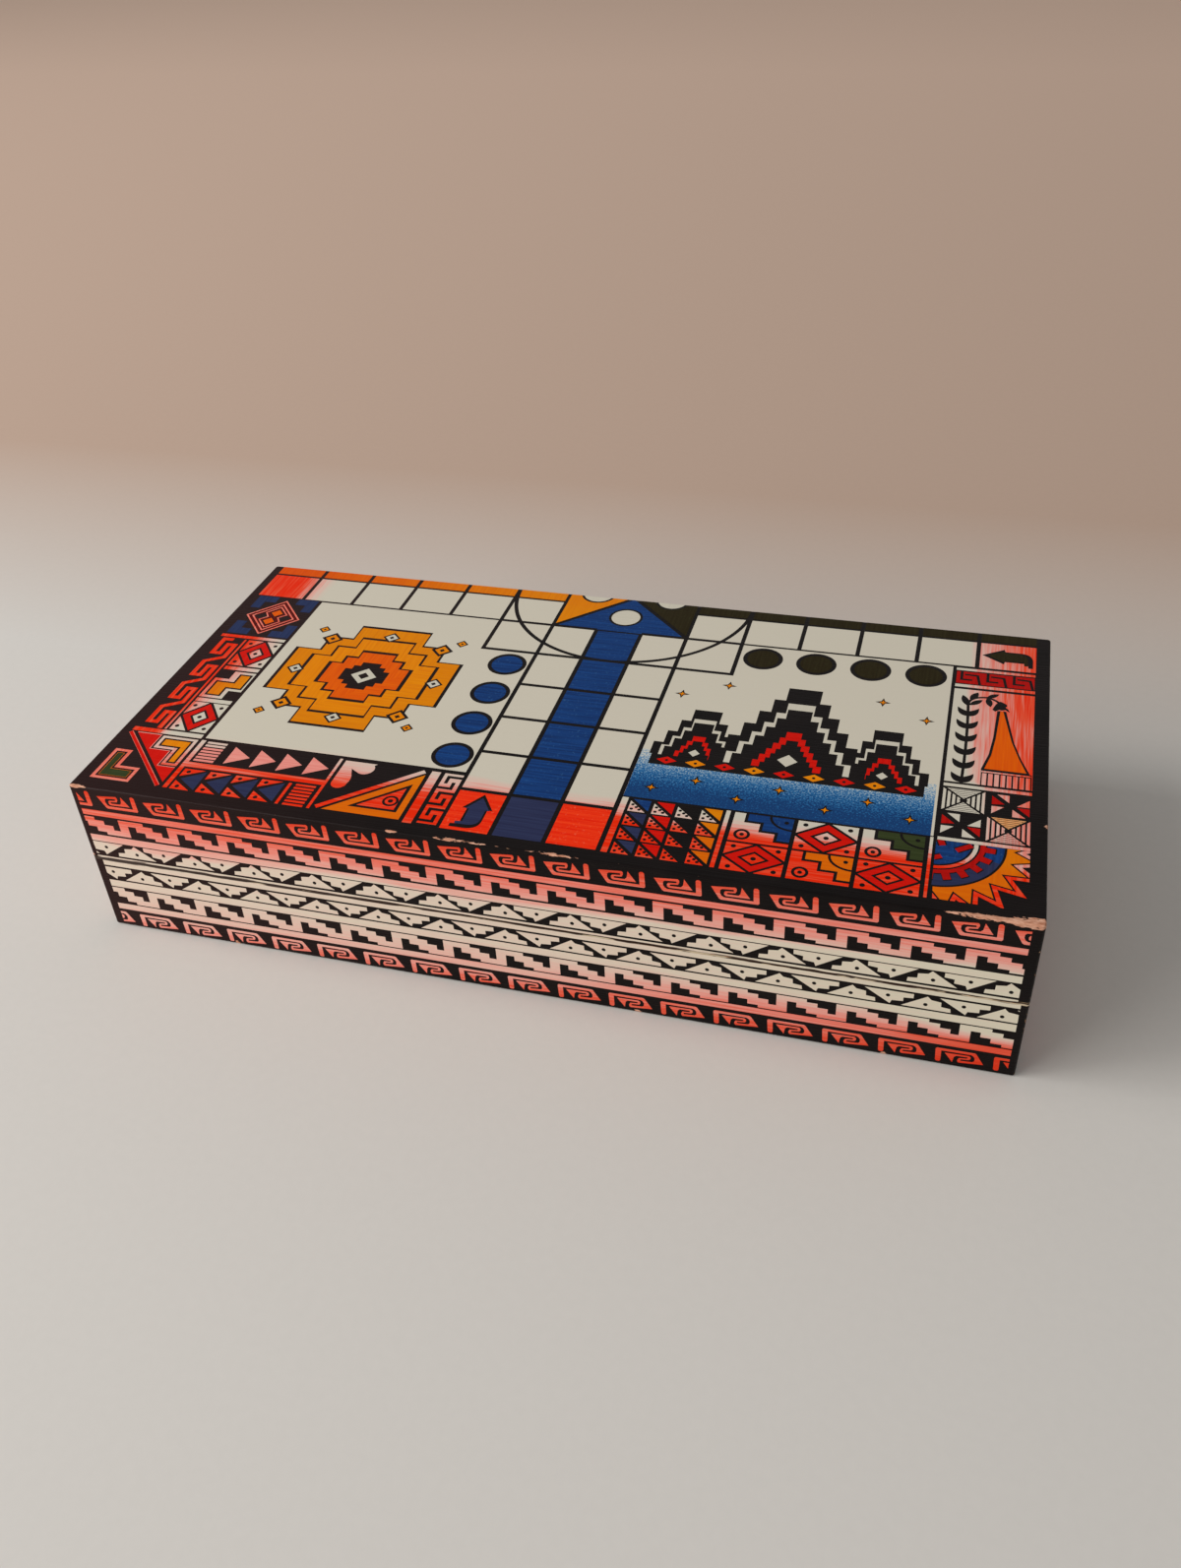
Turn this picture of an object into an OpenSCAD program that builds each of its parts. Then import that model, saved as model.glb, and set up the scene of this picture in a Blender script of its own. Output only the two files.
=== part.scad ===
// Folding ludo board: two shallow wooden trays, hinged along one long side.
// Closed, it is a box that holds the counters and the dice. Opened flat and
// turned over, the outsides of the two panels make the whole square board.
// Millimetres. The origin is the centre of the underside of the closed box:
// +X runs along the hinge side, +Y points to the hinge side, +Z is up.

/* [Box] */
// Length of the box, along the hinge side
box_length = 300; // [240:1:360]
// Depth of the closed box, from the opening side to the hinge side
box_depth = 150; // [120:1:180]
// Height of the lower half
base_height = 30; // [24:0.5:45]
// Height of the upper half
lid_height = 30; // [24:0.5:45]
// Thickness of the side rails
rail_thickness = 9; // [8:0.5:14]
// Thickness of the board panels
panel_thickness = 4; // [3:0.5:6]
// Radius of the upright corners
corner_radius = 1; // [1:0.2:3]
// Radius worked on the outer edges of the panels
edge_radius = 0.6; // [0.4:0.1:0.9]
// Width of the chamfer on the outer edges where the halves meet
arris = 0.4; // [0.2:0.1:0.8]
// Wood left outside the rebate that holds the end of an end rail
tongue = 4.5; // [3:0.5:6]

/* [Hinges] */
// Distance from the end of the box to the middle of the nearest hinge
hinge_inset = 55; // [35:1:80]
// Length of a hinge along its pin
hinge_length = 25; // [20:1:32]
// Thickness of a leaf
leaf_thickness = 1; // [0.8:0.1:1.4]
// Wood left between the free edge of a leaf and the inside of the rail
leaf_setback = 0.9; // [0.5:0.1:2]
// Distance from each leaf to the plane where the halves meet
leaf_gap = 0.15; // [0.1:0.05:0.3]
// Outside diameter of the knuckles
knuckle_diameter = 3.4; // [3:0.2:4.4]
// Number of knuckles on a hinge
knuckle_count = 5; // [3:2:7]
// Gap between neighbouring knuckles, along the pin
knuckle_gap = 0.25; // [0.15:0.05:0.4]
// Diameter of the hinge pin
pin_diameter = 1.5; // [1.2:0.1:1.8]
// Play around the pin, on the radius
pin_play = 0.05; // [0.02:0.01:0.08]
// Diameter of the peened heads of the pin
pin_head_diameter = 2.4; // [2.2:0.1:2.8]
// Height of the peened heads of the pin
pin_head_height = 0.5; // [0.3:0.1:0.8]
// Distance from the back face to the pin's axis, behind the box
pin_offset = 0.15; // [0.15:0.05:0.4]

/* [Screws] */
// Distance between the screws of a leaf
screw_spacing = 15; // [12:0.5:18]
// Distance from the pin's axis to the screws
screw_reach = 5; // [4.2:0.1:5.6]
// Diameter of the screw heads
screw_head_diameter = 3.2; // [2.8:0.1:3.6]
// Diameter of the screw shanks
screw_diameter = 1.8; // [1.4:0.1:2]
// Length of the screws, head included
screw_length = 8; // [6:0.5:12]
// Width of the slot in a screw head
slot_width = 0.5; // [0.4:0.1:0.7]
// Play around the screws, on the radius
screw_play = 0.05; // [0.02:0.01:0.1]

/* [Catch] */
// Distance from the end of the box to the nearest catch magnet
magnet_inset = 40; // [25:1:60]
// Diameter of the catch magnets
magnet_diameter = 6; // [4:0.5:6]
// Thickness of the catch magnets
magnet_thickness = 3; // [2:0.5:5]
// Play around the magnets, on the radius
magnet_play = 0.05; // [0.02:0.01:0.15]
// Distance from each magnet to the plane where the halves meet
magnet_gap = 0.15; // [0.1:0.05:0.5]

/* [Counters] */
// Diameter of a counter
counter_diameter = 12.5; // [10:0.5:15]
// Height of a counter
counter_height = 5; // [4:0.5:7]
// Radius of the rounded rims
counter_rim = 0.8; // [0.5:0.1:1.2]
// Depth of the dish turned in the top
dish_depth = 0.7; // [0.4:0.1:1]
// Width of the flat ring round the dish
dish_border = 1.8; // [1.4:0.1:2.4]
// Gap between neighbouring counters as they lie in the box
counter_gap = 2.5; // [1.5:0.5:4]
// Gap between the counters and the rails
counter_margin = 5; // [3:0.5:10]

/* [Dice] */
// Width of a die
die_size = 11; // [8:0.5:14]
// Share of the half width at which the corner rounding starts
die_corner = 0.42; // [0.3:0.02:0.5]
// Diameter of a pip
pip_diameter = 1.8; // [1.2:0.1:2]
// Depth of a pip
pip_depth = 0.4; // [0.2:0.1:0.6]
// Distance of the outer pips from the middle of a face
pip_spread = 2.8; // [2:0.1:3]
// Gap between the counters and the dice
dice_gap = 12; // [6:1:20]

/* [Hidden] */
$fn = 64;
// How far a cut runs past the face that it opens
over = 1;
// Colours of the sets of counters, as their nodes are named
COUNTER_SETS = ["blue", "orange", "green", "red"];
COUNTER_COLOURS = ["#1f3f7a", "#d97c10", "#34422a", "#c8321c"];
COUNTERS_PER_SET = 4;
HINGE_SIDES = ["left", "right"];
// Pips of the six faces, in steps of pip_spread from the middle of the face
PIPS = [
    [[0, 0]],
    [[-1, -1], [1, 1]],
    [[-1, -1], [0, 0], [1, 1]],
    [[-1, -1], [-1, 1], [1, -1], [1, 1]],
    [[-1, -1], [-1, 1], [0, 0], [1, -1], [1, 1]],
    [[-1, -1], [-1, 0], [-1, 1], [1, -1], [1, 0], [1, 1]]
];
// Turns that bring the top of a die to its six faces; opposite faces add to seven
FACE_TURNS = [[0, 0, 0], [90, 0, 0], [0, 90, 0], [0, -90, 0], [-90, 0, 0], [180, 0, 0]];
// How each die lies: which face is up, and how far it is turned
DICE_NAMES = ["die_one", "die_two"];
DICE_TURNS = [[0, 0, 18], [0, 90, -31]];

box_height = base_height + lid_height;
rail_height = base_height - panel_thickness;
inner_length = box_length - 2 * rail_thickness;
inner_depth = box_depth - 2 * rail_thickness;
pin_y = box_depth / 2 + pin_offset;
knuckle_radius = knuckle_diameter / 2;
knuckle_pitch = (hinge_length + knuckle_gap) / knuckle_count;
knuckle_length = knuckle_pitch - knuckle_gap;
leaf_reach = rail_thickness + pin_offset - leaf_setback;
// The pocket of a barrel leaves this much round the knuckles and the pin heads
barrel_room = 0.3;
leaf_room = 0.15;
screw_tip_radius = 0.1;
// Steps of the circle whose shallow arc makes the dish of a counter
dish_steps = 180;
hinge_x = box_length / 2 - hinge_inset;
magnet_x = box_length / 2 - magnet_inset;
magnet_y = -(box_depth - rail_thickness) / 2;
counter_pitch = counter_diameter + counter_gap;
counter_x = -inner_length / 2 + counter_margin + counter_diameter / 2;
counter_y = -inner_depth / 2 + counter_margin + counter_diameter / 2;
// Every second row is moved along by half a step, so the rows lie closer
row_pitch = counter_pitch * sqrt(3) / 2;
dice_x = counter_x + COUNTERS_PER_SET * counter_pitch + dice_gap;
dice_y = counter_y + row_pitch / 2;
dice_step = 2 * die_size;

function counter_name(set, number) = str("counter_", COUNTER_SETS[set], "_", number + 1);

// Turns what is drawn for the lower half into the same thing for the upper half
module upper_half() {
    translate([0, 0, base_height]) mirror([0, 0, 1]) translate([0, 0, -base_height]) children();
}

// Plan of the closed box, with its rounded corners
module box_plan() {
    square([box_length - 2 * corner_radius, box_depth], center = true);
    square([box_length, box_depth - 2 * corner_radius], center = true);
    for (x = [-1, 1], y = [-1, 1])
        translate([x * (box_length / 2 - corner_radius), y * (box_depth / 2 - corner_radius)])
            circle(corner_radius);
}

// Section of a panel of the given width, with its lower edges rounded over
module panel_section(width) {
    round_x = width / 2 - edge_radius;
    translate([-width / 2, edge_radius]) square([width, panel_thickness - edge_radius]);
    translate([-round_x, 0]) square([2 * round_x, panel_thickness]);
    for (x = [-1, 1]) translate([x * round_x, edge_radius]) circle(edge_radius);
}

// Board panel, lying on z = 0 with its printed face down
module panel() {
    rotate([90, 0, 90]) linear_extrude(box_length - 2 * corner_radius, center = true)
        panel_section(box_depth);
    rotate([90, 0, 0]) linear_extrude(box_depth - 2 * corner_radius, center = true)
        panel_section(box_length);
    for (x = [-1, 1], y = [-1, 1])
        translate([x * (box_length / 2 - corner_radius), y * (box_depth / 2 - corner_radius), 0])
            rotate_extrude() intersection() {
                panel_section(2 * corner_radius);
                square([2 * corner_radius, panel_thickness]);
            }
}

// Chamfer round the outside of the rim that meets the other half
module rim_chamfer(height) {
    for (turn = [0, 90, 180, 270]) {
        across = turn % 180 == 0 ? box_depth : box_length;
        along = turn % 180 == 0 ? box_length : box_depth;
        rotate([0, 0, turn]) translate([0, -across / 2, height])
            rotate([45, 0, 0]) cube([along + 2 * over, arris * sqrt(2), arris * sqrt(2)], center = true);
    }
}

// Long rail at the front; its rebated ends cover the ends of the end rails
module long_rail(height) {
    difference() {
        translate([0, 0, panel_thickness]) linear_extrude(height - panel_thickness)
            difference() {
                intersection() {
                    box_plan();
                    translate([-box_length / 2, -box_depth / 2]) square([box_length, rail_thickness]);
                }
                for (x = [-1, 1])
                    translate([x * box_length / 2, -box_depth / 2 + tongue + rail_thickness / 2])
                        square([2 * rail_thickness, rail_thickness], center = true);
            }
        rim_chamfer(height);
    }
}

// End rail at the left; it seats in the rebates of the long rails
module end_rail(height) {
    length = box_depth - 2 * tongue;
    difference() {
        translate([-box_length / 2, -length / 2, panel_thickness])
            cube([rail_thickness, length, height - panel_thickness]);
        rim_chamfer(height);
    }
}

// Pocket in a back rail for one leaf, the barrel and the screws of a hinge
module hinge_pocket(x, height) {
    room_length = hinge_length + 2 * leaf_room;
    barrel_length = hinge_length + 2 * (pin_head_height + barrel_room);
    translate([x, pin_y, height]) {
        translate([-room_length / 2, -leaf_reach - leaf_room, -leaf_gap - leaf_thickness])
            cube([room_length, leaf_reach + leaf_room + over, leaf_gap + leaf_thickness + over]);
        rotate([0, 90, 0]) cylinder(h = barrel_length, r = knuckle_radius + barrel_room, center = true);
    }
    at_screws(x) translate([0, 0, height - leaf_gap - screw_length - screw_play])
        cylinder(h = screw_length, r = screw_diameter / 2 + screw_play);
}

// Places its children at the two screws of the hinge at x
module at_screws(x) {
    for (side = [-1, 1])
        translate([x + side * screw_spacing / 2, pin_y - screw_reach, 0]) children();
}

// Countersink cone and shank of a screw, its head flush with z = 0
module screw_form(play) {
    head_radius = screw_head_diameter / 2 + play;
    shank_radius = screw_diameter / 2 + play;
    head_height = head_radius - shank_radius;
    translate([0, 0, -head_height]) cylinder(h = head_height, r1 = shank_radius, r2 = head_radius);
    translate([0, 0, -screw_length + shank_radius])
        cylinder(h = screw_length - head_height - shank_radius, r = shank_radius);
    translate([0, 0, -screw_length]) cylinder(h = shank_radius, r1 = screw_tip_radius, r2 = shank_radius);
}

// Lower leaf when first is 0; the leaf with the knuckles between when first is 1
module leaf(x, first) {
    plate_reach = leaf_reach - knuckle_radius - knuckle_gap;
    translate([x, pin_y, base_height]) difference() {
        union() {
            translate([-hinge_length / 2, -leaf_reach, -leaf_gap - leaf_thickness])
                cube([hinge_length, plate_reach, leaf_thickness]);
            for (k = [first : 2 : knuckle_count - 1])
                translate([-hinge_length / 2 + k * knuckle_pitch, 0, 0]) {
                    rotate([0, 90, 0]) cylinder(h = knuckle_length, r = knuckle_radius);
                    translate([0, -leaf_reach + plate_reach / 2, -leaf_gap - leaf_thickness])
                        cube([knuckle_length, leaf_reach - plate_reach / 2, leaf_thickness]);
                }
        }
        rotate([0, 90, 0]) cylinder(h = hinge_length + 2 * over, r = pin_diameter / 2 + pin_play, center = true);
        translate([-x, -pin_y, -leaf_gap]) at_screws(x) {
            screw_form(screw_play);
            cylinder(h = over, r = screw_head_diameter / 2 + screw_play);
        }
    }
}

// Hinge pin, with a peened head at each end
module hinge_pin(x) {
    head_radius = pin_head_diameter / 2;
    dome = (head_radius * head_radius + pin_head_height * pin_head_height) / (2 * pin_head_height);
    color("#b8924a") translate([x, pin_y, base_height]) rotate([0, 90, 0]) {
        cylinder(h = hinge_length, r = pin_diameter / 2, center = true);
        for (side = [0, 1]) mirror([0, 0, side]) translate([0, 0, hinge_length / 2]) intersection() {
            translate([0, 0, pin_head_height - dome]) sphere(dome);
            cylinder(h = pin_head_height, r = head_radius);
        }
    }
}

// The screws of both leaves of one half
module hinge_screws() {
    color("#c9a35a") for (x = [-hinge_x, hinge_x])
        at_screws(x) translate([0, 0, base_height - leaf_gap]) difference() {
            screw_form(0);
            rotate([0, 0, x]) cube([screw_head_diameter + over, slot_width, slot_width], center = true);
        }
}

// Places its children at the two catch magnets, on the plane where the halves meet
module at_magnets() {
    for (x = [-1, 1]) translate([x * magnet_x, magnet_y, base_height]) children();
}

module magnets() {
    color("#b9bcc0") at_magnets() translate([0, 0, -magnet_gap - magnet_thickness])
        cylinder(h = magnet_thickness, r = magnet_diameter / 2);
}

// Front rail of a half of the given height, with the pockets of the magnets
module front_rail(height) {
    color("#c79b78") difference() {
        long_rail(height);
        translate([0, 0, height - base_height]) at_magnets()
            translate([0, 0, -magnet_gap - magnet_thickness])
                cylinder(h = magnet_thickness + magnet_gap + over, r = magnet_diameter / 2 + magnet_play);
    }
}

// Back rail of a half of the given height, with the pockets of the hinges
module back_rail(height) {
    color("#c79b78") difference() {
        rotate([0, 0, 180]) long_rail(height);
        for (x = [-hinge_x, hinge_x]) hinge_pocket(x, height);
    }
}

// Turned counter with rounded rims and a dished top, standing on z = 0
module counter() {
    radius = counter_diameter / 2;
    dish_radius = radius - dish_border;
    bowl = (dish_radius * dish_radius + dish_depth * dish_depth) / (2 * dish_depth);
    rotate_extrude() difference() {
        union() {
            square([radius - counter_rim, counter_height]);
            translate([0, counter_rim]) square([radius, counter_height - 2 * counter_rim]);
            for (z = [counter_rim, counter_height - counter_rim])
                translate([radius - counter_rim, z]) circle(counter_rim);
        }
        intersection() {
            translate([0, counter_height - dish_depth + bowl]) circle(bowl, $fn = dish_steps);
            square([radius, counter_height + over]);
        }
    }
}

// One counter where it lies in the lower half: a row for each set
module stored_counter(set, number) {
    color(COUNTER_COLOURS[set])
        translate([counter_x + (number + (set % 2) / 2) * counter_pitch, counter_y + set * row_pitch,
            panel_thickness])
            counter();
}

// Die with rounded corners and dished pips, centred on its own middle
module die() {
    pip_radius = pip_diameter / 2;
    pip_sphere = (pip_radius * pip_radius + pip_depth * pip_depth) / (2 * pip_depth);
    corner_sphere = die_size / 2 * (1 + die_corner);
    difference() {
        intersection() {
            cube(die_size, center = true);
            sphere(corner_sphere);
        }
        for (face = [0 : len(PIPS) - 1], pip = PIPS[face])
            rotate(FACE_TURNS[face])
                translate([pip[0] * pip_spread, pip[1] * pip_spread, die_size / 2 + pip_sphere - pip_depth])
                    sphere(pip_sphere);
    }
}

// One die where it lies in the lower half
module stored_die(index) {
    color("#e8e2d2") translate([dice_x, dice_y + index * dice_step, panel_thickness + die_size / 2])
        rotate(DICE_TURNS[index]) die();
}

// The pieces that differ only in which half they belong to
module base_panel() { color("#c79b78") panel(); }
module base_front_rail() { front_rail(base_height); }
module base_back_rail() { back_rail(base_height); }
module base_left_rail() { color("#c79b78") end_rail(base_height); }
module base_right_rail() { color("#c79b78") rotate([0, 0, 180]) end_rail(base_height); }
module lid_half() { translate([0, 0, box_height]) mirror([0, 0, 1]) children(); }
module lid_panel() { color("#c79b78") lid_half() panel(); }
module lid_front_rail() { lid_half() front_rail(lid_height); }
module lid_back_rail() { lid_half() back_rail(lid_height); }
module lid_left_rail() { color("#c79b78") lid_half() end_rail(lid_height); }
module lid_right_rail() { color("#c79b78") lid_half() rotate([0, 0, 180]) end_rail(lid_height); }
module lower_leaf(x) { color("#c2a05c") leaf(x, 0); }
module upper_leaf(x) { color("#c2a05c") upper_half() leaf(x, 1); }

base_panel();
base_front_rail();
base_back_rail();
base_left_rail();
base_right_rail();
lid_panel();
lid_front_rail();
lid_back_rail();
lid_left_rail();
lid_right_rail();
lower_leaf(-hinge_x);  // left_hinge_lower_leaf
upper_leaf(-hinge_x);  // left_hinge_upper_leaf
hinge_pin(-hinge_x);  // left_hinge_pin
lower_leaf(hinge_x);  // right_hinge_lower_leaf
upper_leaf(hinge_x);  // right_hinge_upper_leaf
hinge_pin(hinge_x);  // right_hinge_pin
hinge_screws();  // lower_hinge_screws
upper_half() hinge_screws();  // upper_hinge_screws
magnets();  // base_magnets
upper_half() magnets();  // lid_magnets
for (set = [0 : len(COUNTER_SETS) - 1], number = [0 : COUNTERS_PER_SET - 1])
    stored_counter(set, number);
for (index = [0 : len(DICE_NAMES) - 1])
    stored_die(index);
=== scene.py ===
"""Looks of a folding ludo board: a hinged wooden box whose outside carries the printed board.

The wooden halves, hinges, catch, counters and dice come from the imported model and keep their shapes. This
file adds the printing inks, each face's as one thin film cut from outlines in millimetres, and every finish.
Blender works in metres, in the model's own frame: the origin is the middle of the underside of the closed
box.
"""
import math

import bpy
import numpy as np
from mathutils import Matrix, Vector
from mathutils.geometry import delaunay_2d_cdt


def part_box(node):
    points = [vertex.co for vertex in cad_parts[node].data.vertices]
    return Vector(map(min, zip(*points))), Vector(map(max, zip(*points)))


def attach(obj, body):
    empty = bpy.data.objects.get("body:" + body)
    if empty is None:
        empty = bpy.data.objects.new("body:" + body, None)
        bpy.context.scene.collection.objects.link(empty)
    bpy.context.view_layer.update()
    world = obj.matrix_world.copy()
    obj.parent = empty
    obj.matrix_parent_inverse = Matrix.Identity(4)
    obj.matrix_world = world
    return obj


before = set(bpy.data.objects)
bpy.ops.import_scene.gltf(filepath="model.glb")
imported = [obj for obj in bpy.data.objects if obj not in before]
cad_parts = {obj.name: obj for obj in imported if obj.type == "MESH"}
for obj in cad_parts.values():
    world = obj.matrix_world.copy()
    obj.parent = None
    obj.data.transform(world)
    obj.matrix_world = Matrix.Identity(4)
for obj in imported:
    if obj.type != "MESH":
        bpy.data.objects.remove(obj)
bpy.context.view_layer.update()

bl_info = {
    "name": "Folding Ludo Board",
    "version": (1, 0, 0),
    "blender": (4, 5, 0),
    "location": "View3D > Sidebar > Ludo",
    "description": "Dresses a hinged ludo box with its printed board, finishes and stage",
    "category": "Object",
}

MM = 0.001
# Height of the floor, in metres, just clear of the box
FLOOR_Z = -0.0001
# The camera's frame is this long, in millimetres, which its focal length goes by
FRAME_LONG_SIDE = 36.0

# The closed box, in millimetres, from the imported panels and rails
LID_LOW, LID_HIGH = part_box("lid_panel")
LENGTH = (LID_HIGH[0] - LID_LOW[0]) / MM
DEPTH = (LID_HIGH[1] - LID_LOW[1]) / MM
HEIGHT = LID_HIGH[2] / MM
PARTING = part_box("base_front_rail")[1][2] / MM
# Radius of the panels' rounded outer edges. At the hinge side the print runs on over it, for this share of
# its quarter circle and in this many folds
EDGE_RADIUS = 0.6
WRAP_SHARE = 0.85
WRAP_FOLDS = 5
# Unprinted width along the joint of the halves, and at the left and right end of each side's bands
JOINT_MARGIN = 0.45
END_MARGINS = {"base": (3.5, 2.3), "lid": (2.2, 3.3)}
# The barrels of the hinges on the back face: half length, half height and distance from the middle
BARREL_HALF_LENGTH = 13.6
BARREL_HALF_HEIGHT = 2.1
BARREL_X = (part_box("right_hinge_pin")[0][0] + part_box("right_hinge_pin")[1][0]) / 2 / MM

# Grid of the printed board: u from the left end, v from the opening side, in millimetres
CENTRE_U = 149.5
CENTRE_V = 151.0
CELL_WIDTH = 16.75
CELL_LENGTH = 20.27
ARM = 1.5 * CELL_WIDTH
LANE_V = 143.5
ARM_V = CENTRE_V - ARM + 0.2
ARM_END = 145.8
NEAR_END = 4.9
GRID_LINE = 1.5
BASE_RADIUS = 6.95
BASE_RING = 1.45
BASE_STEP = 18.6
# How much the lower half's bands climb to the right, in millimetres per millimetre
BASE_SLOPE = 0.0024
# No ink lies here, so the black ground shows
BLACK = None
# Multiplied by rows of u and v, it turns them a quarter to the left
QUARTER_TURN = np.array(((0.0, 1.0), (-1.0, 0.0)))


def linear(hex_colour):
    """Turns an sRGB hex colour into linear RGBA by the sRGB transfer curve."""
    levels = [int(hex_colour[i:i + 2], 16) / 255 for i in (1, 3, 5)]
    curve = [c / 12.92 if c <= 0.04045 else ((c + 0.055) / 1.055) ** 2.4 for c in levels]
    return (*curve, 1.0)


# Outlines


def rect(u0, v0, u1, v1):
    """Corners of an upright rectangle between two opposite corners."""
    return [(u0, v0), (u1, v0), (u1, v1), (u0, v1)]


def arc(u, v, radius, start, end, points=16):
    """Points on a circle from one angle to another, in degrees: centre plus radius times cosine and sine."""
    turn = np.radians(np.linspace(start, end, points))
    return np.column_stack((u + radius * np.cos(turn), v + radius * np.sin(turn)))


def disc(u, v, radius, points=36):
    """A whole circle as a polygon, its last point left out because it would repeat the first."""
    return arc(u, v, radius, 0, 360, points + 1)[:-1]


def lens(base, tip, bulge):
    """A leaf between two points: one curve out and one back, pulled apart at the middle by the bulge."""
    base, tip = np.array(base), np.array(tip)
    along = (tip - base) / np.linalg.norm(tip - base)
    aside = np.array((-along[1], along[0])) * bulge * 2
    middle = (base + tip) / 2
    return np.vstack((curve(base, middle + aside, tip), curve(tip, middle - aside, base)[1:-1]))


def diamond(u, v, half_u, half_v):
    """The four tips of a diamond round its middle."""
    return [(u - half_u, v), (u, v - half_v), (u + half_u, v), (u, v + half_v)]


def curve(start, pull, end, points=8):
    """A quadratic curve: each point blends start, pull and end by (1-t) squared, 2t(1-t) and t squared."""
    t = np.linspace(0, 1, points)[:, None]
    return (1 - t) ** 2 * np.array(start) + 2 * t * (1 - t) * np.array(pull) + t ** 2 * np.array(end)


def stroke(points, width):
    """Outline of a line of a given width: its points pushed to both sides along the mitres of its corners."""
    path = np.array(points, float)
    along = np.diff(path, axis=0)
    along /= np.linalg.norm(along, axis=1)[:, None]
    side = np.column_stack((-along[:, 1], along[:, 0]))
    both = np.vstack((side[:1], side)) + np.vstack((side, side[-1:]))
    mitre = both * width / np.sum(both ** 2, axis=1)[:, None]
    return np.vstack((path + mitre, (path - mitre)[::-1]))


def placed(layers, du=0.0, dv=0.0, su=1.0, sv=1.0):
    """The same layers scaled, or mirrored by a negative scale, and then moved."""
    return [(ink, np.array(outline, float) * (su, sv) + (du, dv)) for ink, outline in layers]


def turned(layers, du, dv):
    """The same layers turned a quarter to the left about their origin and then moved."""
    return [(ink, np.array(outline, float) @ QUARTER_TURN + (du, dv)) for ink, outline in layers]


def nested(outline, centre, scales, inks):
    """One outline drawn several times about a centre, each time smaller and in the next ink."""
    shape = np.array(outline, float) - centre
    return [(ink, shape * scale + centre) for scale, ink in zip(scales, inks)]


def rects(ink, *boxes):
    """Upright rectangles in one ink."""
    return [(ink, rect(*box)) for box in boxes]


def lines(width, *paths):
    """Black lines of one width."""
    return [(BLACK, stroke(path, width)) for path in paths]


def dots(radius, *spots, points=16):
    """Black dots of one radius."""
    return [(BLACK, disc(*spot, radius, points)) for spot in spots]


def diamonds(u, v, half_u, half_v, scales, inks):
    """Nested diamonds about one middle."""
    return nested(diamond(u, v, half_u, half_v), (u, v), scales, inks)


def corners(u=1.0, v=1.0):
    """The four corners of a box about the origin, from its half sizes."""
    return [(su * u, sv * v) for su in (-1, 1) for sv in (-1, 1)]


# Ornaments shared by several places


def angled(u0, v0, u1, v1, low_u, high_u, low_v, high_v):
    """A box without its lower right and upper left corners, which are cut out at right angles."""
    return [(u0, v0), (low_u, v0), (low_u, low_v), (u1, low_v), (u1, v1), (high_u, v1), (high_u, high_v),
            (u0, high_v)]


def bars(ink, u0, v0, u1, v1, count, upright=False, share=0.6):
    """Equal bars that fill a box, each taking a share of its pitch."""
    start, end = (u0, u1) if upright else (v0, v1)
    step = (end - start) / (count - 1 + share)
    spans = [(start + i * step, start + (i + share) * step) for i in range(count)]
    return rects(ink, *((a, v0, b, v1) if upright else (u0, a, u1, b) for a, b in spans))


def diamond_panel(u0, v0, u1, v1):
    """A crimson diamond round a pale one on a washed ground, with a dot in the middle and in each corner."""
    u, v, half_u, half_v = (u0 + u1) / 2, (v0 + v1) / 2, (u1 - u0) / 2, (v1 - v0) / 2
    layers = rects("wash", (u0, v0, u1, v1))
    layers += diamonds(u, v, half_u, half_v, (1.11, 0.94, 0.53, 0.38), (BLACK, "crimson", BLACK, "wash"))
    near_corners = ((u + du, v + dv) for du, dv in corners(half_u * 0.74, half_v * 0.74))
    return layers + dots(0.8, (u, v)) + dots(0.78, *near_corners)


def stairs_panel(u0, v0, u1, v1, ink):
    """Stairs in wash and a second ink with a dark line between, a ring low down and a quarter arc high up."""
    run, rise = (u1 - u0) / 3.64, (v1 - v0) / 3.5
    steps = [(u0, v0), (u0, v1)]
    for i in range(3):
        steps += [(u0 + run * (i + 0.78), v1 - rise * i), (u0 + run * (i + 0.78), v1 - rise * (i + 1))]
    steps += [(u1, steps[-1][1]), (u1, v0)]
    layers = rects(ink, (u0, v0, u1, v1)) + [("wash", steps)] + lines(0.95, steps[2:-1])
    ring = (u0 + 3.65, v0 + 3.3)
    layers += nested(disc(*ring, 2.45), ring, (1.0, 0.63, 0.28), (BLACK, "wash", BLACK))
    quarter = arc(0, 0, 1, 180, 270, 10) * (6.9, 5.5) + (u1, v1)
    return layers + lines(0.8, quarter) + dots(0.7, (u1 - 2.0, v1 - 2.1))


def hourglass(u0, v0, u1, v1, upper_ink="wash"):
    """Four triangles that meet in the middle: upright stripes left and right, fine lines above and below."""
    u, v = (u0 + u1) / 2, (v0 + v1) / 2
    layers = bars("wash", u0, v0, u1, v1, 9, upright=True)
    for far, ink in ((v0, "wash"), (v1, upper_ink)):
        toward = v - far
        layers += [(BLACK, [(u0 - 0.1, far), (u1 + 0.1, far), (u, v)]),
                   (ink, [(u0 + 1.1, far), (u1 - 1.1, far), (u, v - toward * 0.16)])]
        for share in 0.1 + 0.155 * np.arange(5):
            half = ((u1 - u0) / 2 - 1.1) * (1 - share / 0.84) - 0.2
            middle = far + toward * share
            layers += rects(BLACK, (u - half, middle - 0.12, u + half, middle + 0.12))
    return layers + [(BLACK, diamond(u, v, 1.5, 0.7))]


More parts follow.
